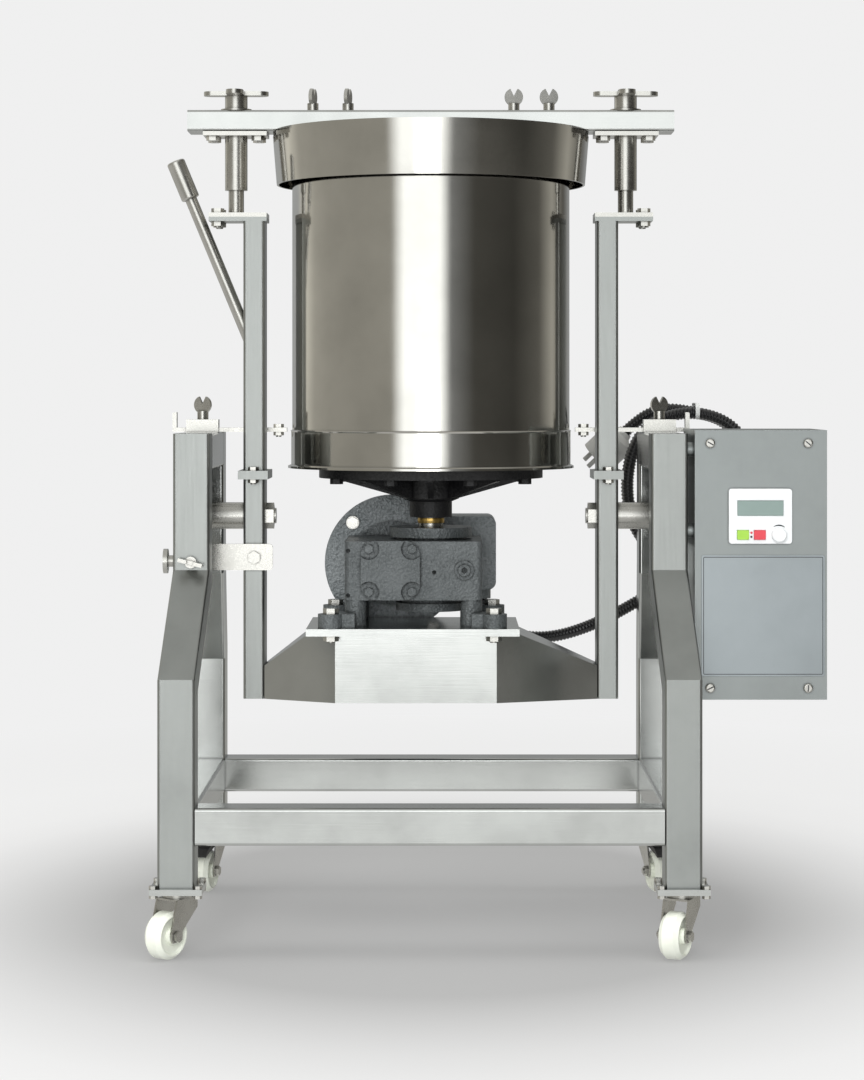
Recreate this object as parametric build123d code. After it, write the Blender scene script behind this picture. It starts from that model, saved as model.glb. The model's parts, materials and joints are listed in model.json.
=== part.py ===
from build123d import *
import math
import os

# Tilting chocolate melanger, millimetres. X to the right, Y away from the operator, Z up.
# The origin is on the floor below the drum axis.

# Shared clearances
GAP = 0.3                   # between pieces that move past each other
RUN_FIT = 0.05              # radial, shaft in its bearing
SLIP = 0.1                  # radial, sliding sleeve on its column
BOLT_SLIP = 0.3             # radial, bolt in its hole

# Frame tube and legs
TUBE = 50.0
WALL = 2.0
TUBE_ROUND = 4.0
FOOT_X = 336.0
FOOT_Y = 250.0
HEAD_X = 328.0
HEAD_Y = 120.0
LEG_BOTTOM = 94.0
LEG_TOP = 694.0
BEND_LOW = 370.0            # on the outer face of the leg
BEND_HIGH = 507.0
RAIL_BOTTOM = 150.0

# Casters
FOOT_PLATE = 70.0
FOOT_PLATE_T = 4.0
FOOT_BOLT_R = 3.0
FOOT_BOLT_AT = 29.5         # from the leg centre, along X and Y
FOOT_HEAD = 4.5
WHEEL_R = 31.5
WHEEL_W = 28.0
CASTER_TRAIL = 24.0
CASTER_AXLE_R = 4.0
FORK_TOP = 79.0
FORK_T = 2.5
FORK_SIDE_GAP = 2.0
KINGPIN_R = 6.0
RACE_R = 20.0
BRAKE_PIN_R = 2.0
CASTER_TURN = {"front_left": -35.0, "front_right": -26.0, "rear_left": -14.0, "rear_right": 14.0}

# Trunnions
TRUNNION_Z = 575.5
TRUNNION_R = 19.0
TENON_R = 11.0
SHOULDER_R = 24.5
SHOULDER_T = 4.5
BOSS_R = 40.0
BOSS_IN = 318.0             # inner face of the bearing boss, from the middle
BEARING_PLATE_X = 340.0
BEARING_PLATE_T = 6.0
BEARING_PLATE_BOTTOM = 535.0
TRUNNION_NUT = 32.0         # across flats
TRUNNION_NUT_T = 12.0

# Cradle posts
POST_X = 250.0
POST_W = 30.0
POST_D = 60.0
POST_WALL = 2.5
POST_BOTTOM = 318.0
JOINT_Z = 628.5
JOINT_T = 6.0
JOINT_W = 42.0
JOINT_D = 104.0
JOINT_BOLT_R = 4.0
JOINT_BOLT_Y = 41.0
POST_TOP = 993.0

# Bridge between the posts, seen from the front and from above
BRIDGE_TOP = 414.0
BRIDGE_END_TOP = 365.0
BRIDGE_SHEET = 4.0
BRIDGE_LEFT = -133.0        # the deep middle part
BRIDGE_RIGHT = 92.0
BRIDGE_DEPTH = 86.0
BRIDGE_SLOPE_LEFT = -170.0
BRIDGE_SLOPE_RIGHT = 121.0

# Gear motor
MOTOR_PLATE_LEFT = -172.0
MOTOR_PLATE_RIGHT = 123.0
MOTOR_PLATE_FRONT = -122.0
MOTOR_PLATE_BACK = 87.0
MOTOR_PLATE_T = 10.0
BOX_LEFT = -120.0
BOX_RIGHT = 72.0
BOX_DEPTH = 85.0
BOX_BOTTOM = 461.0
BOX_TOP = 543.0
BOX_WALL = 12.0
WORM_X = -56.0
WORM_Z = 503.0
WORM_R = 13.0
WORM_SHAFT_R = 12.0
WORM_HALF = 34.0
WORM_TAPER = 2.0
WHEEL_GEAR_R = 40.0
WHEEL_GEAR_T = 30.0
OUTPUT_R = 17.5
COVER_R = 58.0
COVER_T = 14.0
COVER_TOP = 560.0
COVER_STEP = 8.0
BASE_COVER_T = 19.0
BASE_COVER_STEP = 8.0
TAPPED_R = 3.0
TAPPED_AT = ((-115.0, 530.0), (-115.0, 468.0), (5.0, 500.0))   # X and Z, on the front
SCALLOP_R = 15.0
SCALLOP_FLOOR = 4.0
CAP_SCREW_R = 3.0
CAP_HEAD = 11.0
OIL_PLUG_R = 8.0
OIL_RIM_R = 13.0
END_CAP = 82.0
END_CAP_T = 12.0
GEAR_FOOT_LEFT = -138.0
GEAR_FOOT_RIGHT = 88.0
GEAR_FOOT_FRONT = -105.0
GEAR_FOOT_BACK = 62.0
GEAR_FOOT_R = 18.0
GEAR_FOOT_T = 20.0
GEAR_BOLT_R = 6.0
MOTOR_FLANGE_R = 99.0
MOTOR_FLANGE_T = 12.0
MOTOR_R = 70.0
MOTOR_FRONT = 90.0
MOTOR_BACK = 285.0
FIN_H = 8.0
FIN_T = 3.0
FIN_COUNT = 28
COWL_R = 80.0
COWL_BACK = 335.0
ROTOR_R = 45.0
ROTOR_INSET = 25.0
FAN_R = 60.0
FAN_W = 16.0
FAN_T = 4.0
MOTOR_BOLT_AT = 82.5
WASHER_T = 2.0
MOTOR_HEAD = 15.0
MOTOR_HEAD_H = 6.0
MOTOR_BOLT_R = 5.5
NECK_R = 60.0
TERMINAL_RIGHT = 95.0
TERMINAL_SEAT = 40.0
TERMINAL_FRONT = 125.0
TERMINAL_BACK = 225.0
TERMINAL_BOTTOM = 461.0
TERMINAL_TOP = 569.0

# Tilt stop strap and handle on the left post
STRAP_LEFT = -335.0
STRAP_RIGHT = -223.0
STRAP_BOTTOM = 500.0
STRAP_TOP = 537.0
STRAP_T = 6.0
STRAP_BOLT_X = -249.0
STOP_Z = 518.0
STOP_SCREW_R = 5.0
HANDLE_Z = 841.0
HANDLE_LEAN = 22.5          # degrees from upright
HANDLE_R = 8.5
HANDLE_LENGTH = 258.0
GRIP_R = 13.0
GRIP_LENGTH = 58.0

# Columns, beam and lid
COLUMN_X = 277.0
COLUMN_R = 11.0
COLUMN_PROUD = 22.0          # above the beam
PLATE_IN = 232.0
PLATE_REACH = 37.0           # of the plates, out from the column
PLATE_T = 6.0
PLATE_INSET = 12.0           # of the bolts from the plates' edges
PLATE_BOLT_Y = 16.0
PLATE_BOLT_R = 5.0
SLEEVE_R = 16.0
SLEEVE_BOTTOM = 1038.0
BEAM_BOTTOM = 1120.0
BEAM_H = 30.0
BEAM_D = 60.0
BEAM_HALF = 344.0
BEAM_WALL = 2.5
LID_R = 225.0
LID_LIP_R = 219.0
LID_LIP_Z = 1045.0
LID_T = 3.0
WING_X = (-168.0, -118.0, 118.0, 168.0)
WING_SHANK_R = 4.0
WING_DISC_R = 13.0
WING_DISC_T = 5.0
HAND_NUT_H = 28.0
HAND_NUT_R = 16.0
STAR_SPAN = 92.0
STAR_ARM = 24.0
STAR_T = 6.0

# Drum and stones
DRUM_R = 197.0
DRUM_WALL = 3.0
DRUM_BOTTOM = 644.0
DRUM_FLOOR = 6.0
DRUM_TOP = 1095.0
DRUM_BAND_TOP = 698.0
DRUM_BAND_R = 198.5
DRUM_RIM_R = 203.0
SLAB_T = 40.0
SLAB_HOLE_R = 25.0
STONE_R = 85.0
STONE_W = 95.0
STONE_IN = 40.0
STONE_AXLE_R = 15.0
YOKE_R = 17.0
YOKE_DEPTH = 28.0
YOKE_BELOW = 32.0
YOKE_ABOVE = 40.0
YOKE_FLANGE_R = 45.0
YOKE_FLANGE_T = 10.0
COLLAR_R = 24.0
COLLAR_T = 7.0
DISC_R = 159.0
DISC_T = 14.0
HUB_R = 30.0
RIB_INSET = 26.0
HUB_H = 70.0
RIB_COUNT = 8
RIB_T = 8.0
DISC_BOLT_R = 5.0
DISC_BOLT_AT = 143.0

# Lock bars
LOCK_IN = 207.0
LOCK_OUT = 365.0
LOCK_FRONT = 31.0
LOCK_W = 16.0
LOCK_T = 6.0
LOCK_HOOK = 22.0
LOCK_BOLT_X = 219.0
GUIDE_W = 46.0
GUIDE_WALL = 4.0
GUIDE_H = 18.0

# Control box and keypad
CASE_LEFT = 362.0
CASE_RIGHT = 543.0
CASE_BOTTOM = 330.0
CASE_TOP = 699.0
CASE_FRONT = -150.0
CASE_BACK = 25.0
CASE_WALL = 2.0
CASE_SPACER_R = 10.0
CASE_SPACER_Z = (560.0, 672.0)
COVER_SCREW_X = (383.0, 517.0)
COVER_SCREW_Z = (346.0, 681.0)
KEYPAD_X = 451.0
KEYPAD_Z = 581.5
KEYPAD_W = 86.0
KEYPAD_H = 75.0
KEYPAD_T = 8.0
KEY_Z = 556.0
KEY_W = 16.0
KEY_H = 13.0
START_X = 427.0
STOP_X = 450.0
KEY_PROUD = 2.0
KNOB_X = 476.0
KNOB_R = 10.0
KNOB_PROUD = 9.0

# Conduits
HOSE_R = 9.0
HOSE_BORE_R = 6.5
HOSE_RIB = 1.2
MOTOR_RIBS = 110
HOSE_SPAN = 10              # ribs made at a time
COIL_X = 385.0
COIL_Z = 611.5
COIL_HALF_W = 96.0
COIL_HALF_H = 112.0
COIL_SQUARE = 0.86          # below 1 the oval is squarish
COIL_FRONT = 163.0          # where the first turn starts
COIL_PITCH = 20.5
COIL_FIRST = 0              # degrees
COIL_LAST = 810
PEG_R = 6.0
PEG_REACH = 76.0           # behind the rear leg
PEG_RIM_R = 9.0
PEG_T = 3.0
PEG_BELOW = 12.0            # the leg top
PLUG_R = 28.0
PLUG_LENGTH = 58.0
PIN_R = 3.5
PIN_LENGTH = 18.0
GLAND_R = 14.0
GLAND_T = 16.0

PIECES = {}


def keep(name, *shapes):
    """Stores the solids of one sub-part under its name."""
    PIECES[name] = [solid for shape in shapes for solid in shape.solids()]


def block(x0, x1, y0, y1, z0, z1):
    return Pos((x0 + x1) / 2, (y0 + y1) / 2, (z0 + z1) / 2) * Box(x1 - x0, y1 - y0, z1 - z0)


def rod(start, end, radius):
    along = Vector(end) - Vector(start)
    plane = Plane(origin=start, z_dir=along)
    return extrude(plane * Circle(radius), amount=along.length)


def hexagon(start, end, flats):
    along = Vector(end) - Vector(start)
    plane = Plane(origin=start, z_dir=along)
    return extrude(plane * RegularPolygon(flats / 2, 6, major_radius=False), amount=along.length)


def bolt(head_seat, nut_seat, radius, flats, head=None, tail=2.0):
    """Hex bolt whose head sits on head_seat and whose nut sits on nut_seat."""
    head = head or radius * 1.3
    inward = (Vector(nut_seat) - Vector(head_seat)).normalized()
    top = Vector(head_seat)
    end = Vector(nut_seat)
    body = rod(top - inward * head / 2, end + inward * (head + tail), radius)
    body += hexagon(top - inward * head, top, flats)
    body += hexagon(end, end + inward * head, flats)
    return body


def other_side(shape):
    return mirror(shape, about=Plane.YZ)


def square_tube(width, depth, wall, length, corner):
    outer = extrude(RectangleRounded(width, depth, corner), amount=length)
    inner = extrude(RectangleRounded(width - 2 * wall, depth - 2 * wall, corner - wall / 2), amount=length)
    return outer - inner


# Legs: front right one first, mirrored to the other corners
LEG_SLANT = math.degrees(math.atan2(FOOT_Y - HEAD_Y, BEND_HIGH - BEND_LOW))
MITRE_DROP = TUBE * math.tan(math.radians(LEG_SLANT / 2))


def leg_section(x, y, outer_z, drop, size):
    """Section of the leg on a plane that falls by drop from the outer face to the inner one."""
    scale = size / TUBE
    plane = Plane(origin=(x, y, outer_z - drop / 2), x_dir=(1, 0, 0), z_dir=(0, drop, TUBE))
    return plane * RectangleRounded(size, math.hypot(TUBE, drop) * scale, TUBE_ROUND * scale)


def leg_body(size, bottom, top):
    sections = [
        leg_section(FOOT_X, -FOOT_Y, bottom, 0, size),
        leg_section(FOOT_X, -FOOT_Y, BEND_LOW, MITRE_DROP, size),
        leg_section(HEAD_X, -HEAD_Y, BEND_HIGH, MITRE_DROP, size),
        leg_section(HEAD_X, -HEAD_Y, top, 0, size),
    ]
    return loft(sections, ruled=True)


def make_legs():
    leg = leg_body(TUBE, LEG_BOTTOM, LEG_TOP)
    leg -= leg_body(TUBE - 2 * WALL, LEG_BOTTOM, LEG_TOP - WALL)
    rear = mirror(leg, about=Plane.XZ)
    stopped = other_side(leg)
    stopped -= rod((-HEAD_X, -HEAD_Y - TUBE, STOP_Z), (-HEAD_X, 0, STOP_Z), STOP_SCREW_R + BOLT_SLIP)
    stopped -= rod((-HEAD_X - TUBE, -HEAD_Y, STOP_Z), (-HEAD_X, -HEAD_Y, STOP_Z), STOP_SCREW_R + BOLT_SLIP)
    keep("front_legs", stopped, leg)
    peg_z = LEG_TOP - PEG_BELOW
    back = HEAD_Y + TUBE / 2
    pegged = rear + rod((HEAD_X, back - WALL, peg_z), (HEAD_X, back + PEG_REACH, peg_z), PEG_R)
    pegged += rod((HEAD_X, back + PEG_REACH - PEG_T, peg_z), (HEAD_X, back + PEG_REACH, peg_z), PEG_RIM_R)
    keep("rear_legs", other_side(rear), pegged)


def make_rails():
    long_rail = square_tube(TUBE, TUBE, WALL, 2 * FOOT_X - TUBE, TUBE_ROUND)
    cross = Pos(-FOOT_X + TUBE / 2, -FOOT_Y, RAIL_BOTTOM + TUBE / 2) * Rot(0, 90, 0) * long_rail
    side_rail = square_tube(TUBE, TUBE, WALL, 2 * FOOT_Y - TUBE, TUBE_ROUND)
    side = Pos(FOOT_X, FOOT_Y - TUBE / 2, RAIL_BOTTOM + TUBE / 2) * Rot(90, 0, 0) * side_rail
    head_rail = square_tube(TUBE, TUBE, WALL, 2 * HEAD_Y - TUBE, TUBE_ROUND)
    head = Pos(HEAD_X, HEAD_Y - TUBE / 2, LEG_TOP - TUBE / 2) * Rot(90, 0, 0) * head_rail
    rear_cross = mirror(cross, about=Plane.XZ)
    keep("frame_rails", cross, rear_cross, side, other_side(side), head, other_side(head))


def make_bearings():
    plate_half = HEAD_Y - TUBE / 2
    outer = BEARING_PLATE_X + BEARING_PLATE_T
    plate = block(BEARING_PLATE_X, outer, -plate_half, plate_half, BEARING_PLATE_BOTTOM, LEG_TOP - TUBE)
    plate += rod((BOSS_IN, 0, TRUNNION_Z), (BEARING_PLATE_X, 0, TRUNNION_Z), BOSS_R)
    plate -= rod((BOSS_IN - 1, 0, TRUNNION_Z), (outer + 1, 0, TRUNNION_Z), TRUNNION_R + RUN_FIT)
    keep("trunnion_bearings", other_side(plate), plate)


# Casters
CORNERS = {
    "front_left": (-FOOT_X, -FOOT_Y),
    "front_right": (FOOT_X, -FOOT_Y),
    "rear_left": (-FOOT_X, FOOT_Y),
    "rear_right": (FOOT_X, FOOT_Y),
}
PLATE_Z = LEG_BOTTOM - FOOT_PLATE_T
SWIVEL_Z = PLATE_Z - FOOT_PLATE_T
CHEEK_IN = WHEEL_W / 2 + FORK_SIDE_GAP
BRAKE_Y = -14.0
BRAKE_Z = 71.0


def make_foot_plates():
    plates = []
    bolts = []
    for x, y in CORNERS.values():
        half = FOOT_PLATE / 2
        upper = block(x - half, x + half, y - half, y + half, PLATE_Z, LEG_BOTTOM)
        lower = block(x - half, x + half, y - half, y + half, SWIVEL_Z, PLATE_Z)
        lower -= rod((x, y, SWIVEL_Z - 1), (x, y, PLATE_Z), KINGPIN_R + RUN_FIT)
        for sx in (-1, 1):
            for sy in (-1, 1):
                bx = x + sx * FOOT_BOLT_AT
                by = y + sy * FOOT_BOLT_AT
                hole = rod((bx, by, SWIVEL_Z - 1), (bx, by, LEG_BOTTOM + 1), FOOT_BOLT_R + BOLT_SLIP)
                upper -= hole
                lower -= hole
                seat = (bx, by, LEG_BOTTOM)
                nut = (bx, by, SWIVEL_Z)
                bolts.append(bolt(seat, nut, FOOT_BOLT_R, 10.0, head=FOOT_HEAD, tail=0.5))
        plates += [upper, lower]
    keep("foot_plates", *plates)
    return bolts


def fork():
    """Caster fork about its swivel axis, trailing towards -Y, with its axle bolt."""
    outside = CHEEK_IN + FORK_T
    outline = [
        (19, FORK_TOP), (-22, FORK_TOP), (-CASTER_TRAIL - 11, WHEEL_R + 4), (-CASTER_TRAIL - 8, WHEEL_R - 8),
        (-CASTER_TRAIL + 8, WHEEL_R - 8), (-CASTER_TRAIL + 13, WHEEL_R + 6), (19, FORK_TOP - 14),
    ]
    cheek_face = make_face(Polyline(*outline, close=True))
    cheek = extrude(Plane(origin=(CHEEK_IN, 0, 0), x_dir=(0, 1, 0), z_dir=(1, 0, 0)) * cheek_face, amount=FORK_T)
    body = cheek + other_side(cheek)
    body += block(-outside, outside, -22, 19, FORK_TOP - FORK_T, FORK_TOP)
    body += rod((0, 0, FORK_TOP), (0, 0, SWIVEL_Z - GAP), RACE_R)
    body += rod((0, 0, FORK_TOP), (0, 0, PLATE_Z - GAP), KINGPIN_R)
    axle_hole = rod((-30, -CASTER_TRAIL, WHEEL_R), (30, -CASTER_TRAIL, WHEEL_R), CASTER_AXLE_R + RUN_FIT)
    body -= axle_hole
    axle = bolt((outside, -CASTER_TRAIL, WHEEL_R), (-outside, -CASTER_TRAIL, WHEEL_R), CASTER_AXLE_R, 13.0)
    return body, axle


def wheel():
    half = WHEEL_W / 2
    hub_half = CHEEK_IN - GAP
    bore = CASTER_AXLE_R + RUN_FIT
    outline = [
        (bore, -hub_half), (11, -hub_half), (11, -half + 5), (22, -half + 3), (25, -half), (WHEEL_R - 5, -half),
        (WHEEL_R, -half + 6), (WHEEL_R, half - 6), (WHEEL_R - 5, half), (25, half), (22, half - 3),
        (11, half - 5), (11, hub_half), (bore, hub_half),
    ]
    profile = Plane.XZ * make_face(Polyline(*outline, close=True))
    turned = revolve(profile, axis=Axis.Z)
    return Pos(0, -CASTER_TRAIL, WHEEL_R) * Rot(0, 90, 0) * turned


def brake():
    """Foot pedal over the wheel, on a pin through the fork's cheeks."""
    half = CHEEK_IN - 1.0
    outline = [(-10, 74), (-10, 68), (-24, 66.5), (-50, 61), (-62, 57), (-63, 60), (-50, 68), (-26, 74)]
    side = make_face(Polyline(*outline, close=True))
    plane = Plane(origin=(-half, 0, 0), x_dir=(0, 1, 0), z_dir=(1, 0, 0))
    pedal = extrude(plane * side, amount=2 * half)
    outside = CHEEK_IN + FORK_T
    pedal += rod((-outside, BRAKE_Y, BRAKE_Z), (outside, BRAKE_Y, BRAKE_Z), BRAKE_PIN_R)
    return pedal


def make_casters():
    body, axle = fork()
    roller = wheel()
    pedal = brake()
    pin_hole = rod((-40, BRAKE_Y, BRAKE_Z), (40, BRAKE_Y, BRAKE_Z), BRAKE_PIN_R + RUN_FIT)
    for corner, (x, y) in CORNERS.items():
        place = Pos(x, y, 0) * Rot(0, 0, CASTER_TURN[corner])
        braked = corner.startswith("rear")
        plain = body - pin_hole if braked else body
        keep("caster_fork_" + corner, place * plain, place * axle)
        keep("caster_wheel_" + corner, place * roller)
        if braked:
            keep("caster_brake_" + corner, place * pedal)


# Cradle
POST_IN = POST_X - POST_W / 2
POST_OUT = POST_X + POST_W / 2
PLATE_OUT = COLUMN_X + PLATE_REACH
PLATE_BOLT_X = PLATE_OUT - PLATE_INSET
COLUMN_TOP = BEAM_BOTTOM + BEAM_H + COLUMN_PROUD
JOINT_TOP = JOINT_Z + 2 * JOINT_T


def make_trunnions():
    reach = BEARING_PLATE_X + BEARING_PLATE_T - 1
    shaft = rod((POST_OUT, 0, TRUNNION_Z), (reach, 0, TRUNNION_Z), TRUNNION_R)
    shoulder_end = BOSS_IN - GAP
    shaft += rod((shoulder_end - SHOULDER_T, 0, TRUNNION_Z), (shoulder_end, 0, TRUNNION_Z), SHOULDER_R)
    nut_end = POST_IN - TRUNNION_NUT_T
    shaft += rod((nut_end - 3, 0, TRUNNION_Z), (POST_OUT, 0, TRUNNION_Z), TENON_R)
    nut = hexagon((nut_end, 0, TRUNNION_Z), (POST_IN, 0, TRUNNION_Z), TRUNNION_NUT)
    nut -= rod((nut_end - 4, 0, TRUNNION_Z), (POST_OUT, 0, TRUNNION_Z), TENON_R)
    keep("trunnion_shafts", other_side(shaft), shaft, other_side(nut), nut)


def joint_holes(shape):
    for sy in (-1, 1):
        y = sy * JOINT_BOLT_Y
        shape -= rod((POST_X, y, JOINT_Z - 1), (POST_X, y, JOINT_TOP + 1), JOINT_BOLT_R + BOLT_SLIP)
    return shape


def make_posts():
    bolts = []
    tube = square_tube(POST_W, POST_D, POST_WALL, JOINT_Z - POST_BOTTOM, TUBE_ROUND)
    lower = Pos(POST_X, 0, POST_BOTTOM) * tube
    lower += block(POST_IN + 1, POST_OUT - 1, -POST_D / 2 + 1, POST_D / 2 - 1, POST_BOTTOM, POST_BOTTOM + 3)
    low_flange = Pos(POST_X, 0, JOINT_Z + JOINT_T / 2) * Box(JOINT_W, JOINT_D, JOINT_T)
    lower += low_flange
    lower -= rod((POST_IN - 1, 0, TRUNNION_Z), (POST_OUT + 1, 0, TRUNNION_Z), TENON_R + BOLT_SLIP)
    lower = joint_holes(lower)
    left = other_side(lower)
    left -= rod((STRAP_BOLT_X, -POST_D, STOP_Z), (STRAP_BOLT_X, 0, STOP_Z), PLATE_BOLT_R + BOLT_SLIP)
    keep("lower_posts", left, lower)

    upper_tube = square_tube(POST_W, POST_D, POST_WALL, POST_TOP - JOINT_TOP, TUBE_ROUND)
    upper = Pos(POST_X, 0, JOINT_TOP) * upper_tube
    upper += Pos(POST_X, 0, JOINT_TOP - JOINT_T / 2) * Box(JOINT_W, JOINT_D, JOINT_T)
    upper = joint_holes(upper)
    upper += block(PLATE_IN, PLATE_OUT, -POST_D / 2, POST_D / 2, POST_TOP, POST_TOP + PLATE_T)
    column = block(PLATE_IN, PLATE_OUT, -POST_D / 2, POST_D / 2, POST_TOP + PLATE_T, POST_TOP + 2 * PLATE_T)
    column += rod((COLUMN_X, 0, POST_TOP + PLATE_T), (COLUMN_X, 0, COLUMN_TOP), COLUMN_R)
    for sy in (-1, 1):
        y = sy * PLATE_BOLT_Y
        top = POST_TOP + 2 * PLATE_T
        hole = rod((PLATE_BOLT_X, y, POST_TOP - 1), (PLATE_BOLT_X, y, top + 1), PLATE_BOLT_R + BOLT_SLIP)
        upper -= hole
        column -= hole
        pair = bolt((PLATE_BOLT_X, y, top), (PLATE_BOLT_X, y, POST_TOP), PLATE_BOLT_R, 16.0)
        joint_y = sy * JOINT_BOLT_Y
        joint = bolt((POST_X, joint_y, JOINT_TOP), (POST_X, joint_y, JOINT_Z), JOINT_BOLT_R, 13.0)
        bolts += [pair, other_side(pair), joint, other_side(joint)]
    keep("upper_posts", other_side(upper), upper)
    keep("column_rods", other_side(column), column)
    return bolts


def bridge_form(inset, bottom):
    """Plan and front outlines of the bridge, drawn in by the sheet's thickness."""
    end = POST_IN
    deep = BRIDGE_DEPTH - inset
    shallow = POST_D / 2 - inset
    plan_points = [
        (-end, -shallow), (BRIDGE_LEFT, -deep), (BRIDGE_RIGHT, -deep), (end, -shallow),
        (end, shallow), (BRIDGE_RIGHT, deep), (BRIDGE_LEFT, deep), (-end, shallow),
    ]
    front_points = [
        (-end, bottom), (end, bottom), (end, BRIDGE_END_TOP - inset), (BRIDGE_SLOPE_RIGHT, BRIDGE_TOP - inset),
        (BRIDGE_SLOPE_LEFT, BRIDGE_TOP - inset), (-end, BRIDGE_END_TOP - inset),
    ]
    plan = Pos(0, 0, bottom) * make_face(Polyline(*plan_points, close=True))
    front = Plane.XZ * make_face(Polyline(*front_points, close=True))
    tall = extrude(plan, amount=BRIDGE_TOP - bottom)
    return tall & extrude(front, amount=2 * BRIDGE_DEPTH, both=True)


def make_bridge():
    sheet = bridge_form(0, POST_BOTTOM) - bridge_form(BRIDGE_SHEET, POST_BOTTOM - 1)
    for x in (GEAR_FOOT_LEFT, GEAR_FOOT_RIGHT):
        below = (x, GEAR_FOOT_BACK, BRIDGE_TOP - BRIDGE_SHEET - 1)
        sheet -= rod(below, (x, GEAR_FOOT_BACK, BRIDGE_TOP + 1), GEAR_BOLT_R + BOLT_SLIP)
    keep("cradle_bridge", sheet)


def make_strap():
    front = -POST_D / 2 - STRAP_T
    bar = block(STRAP_LEFT, STRAP_RIGHT, front, -POST_D / 2, STRAP_BOTTOM, STRAP_TOP)
    bar = fillet(bar.edges().filter_by(Axis.Y), 5.0)
    bar -= rod((STRAP_BOLT_X, front - 1, STOP_Z), (STRAP_BOLT_X, 0, STOP_Z), PLATE_BOLT_R + BOLT_SLIP)
    keep("tilt_strap", bar)
    seat = (STRAP_BOLT_X, front, STOP_Z)
    inside = (STRAP_BOLT_X, -POST_D / 2 + POST_WALL, STOP_Z)
    return [bolt(seat, inside, PLATE_BOLT_R, 16.0)]


def make_handle():
    lean = math.radians(HANDLE_LEAN)
    along = Vector(-math.sin(lean), 0, math.cos(lean))
    root = Vector(-POST_OUT, 0, HANDLE_Z)
    end = root + along * HANDLE_LENGTH
    bar = rod(root - along * 40, end - along * 10, HANDLE_R)
    bar -= block(-POST_OUT, 0, -50, 50, HANDLE_Z - 200, HANDLE_Z + 200)
    grip = rod(end - along * GRIP_LENGTH, end, GRIP_R)
    grip = fillet(grip.edges().filter_by(GeomType.CIRCLE), 3.0)
    keep("tilt_handle", bar + grip)


# Gear motor
PLATE_BASE = BRIDGE_TOP
GEAR_BASE = BRIDGE_TOP + MOTOR_PLATE_T


def gear_feet():
    return [(x, y) for x in (GEAR_FOOT_LEFT, GEAR_FOOT_RIGHT) for y in (GEAR_FOOT_FRONT, GEAR_FOOT_BACK)]


def make_motor_plate():
    plate = block(
        MOTOR_PLATE_LEFT, MOTOR_PLATE_RIGHT, MOTOR_PLATE_FRONT, MOTOR_PLATE_BACK, PLATE_BASE, GEAR_BASE)
    bolts = []
    for x, y in gear_feet():
        plate -= rod((x, y, PLATE_BASE - 1), (x, y, GEAR_BASE + 1), GEAR_BOLT_R + BOLT_SLIP)
        nut_z = PLATE_BASE if y == GEAR_FOOT_FRONT else PLATE_BASE - BRIDGE_SHEET
        bolts.append(bolt((x, y, GEAR_BASE + GEAR_FOOT_T), (x, y, nut_z), GEAR_BOLT_R, 19.0))
    keep("motor_plate", plate)
    return bolts


def cap_corners():
    reach = END_CAP / 2 - 11
    return [(WORM_X + sx * reach, WORM_Z + sz * reach) for sx in (-1, 1) for sz in (-1, 1)]


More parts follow.
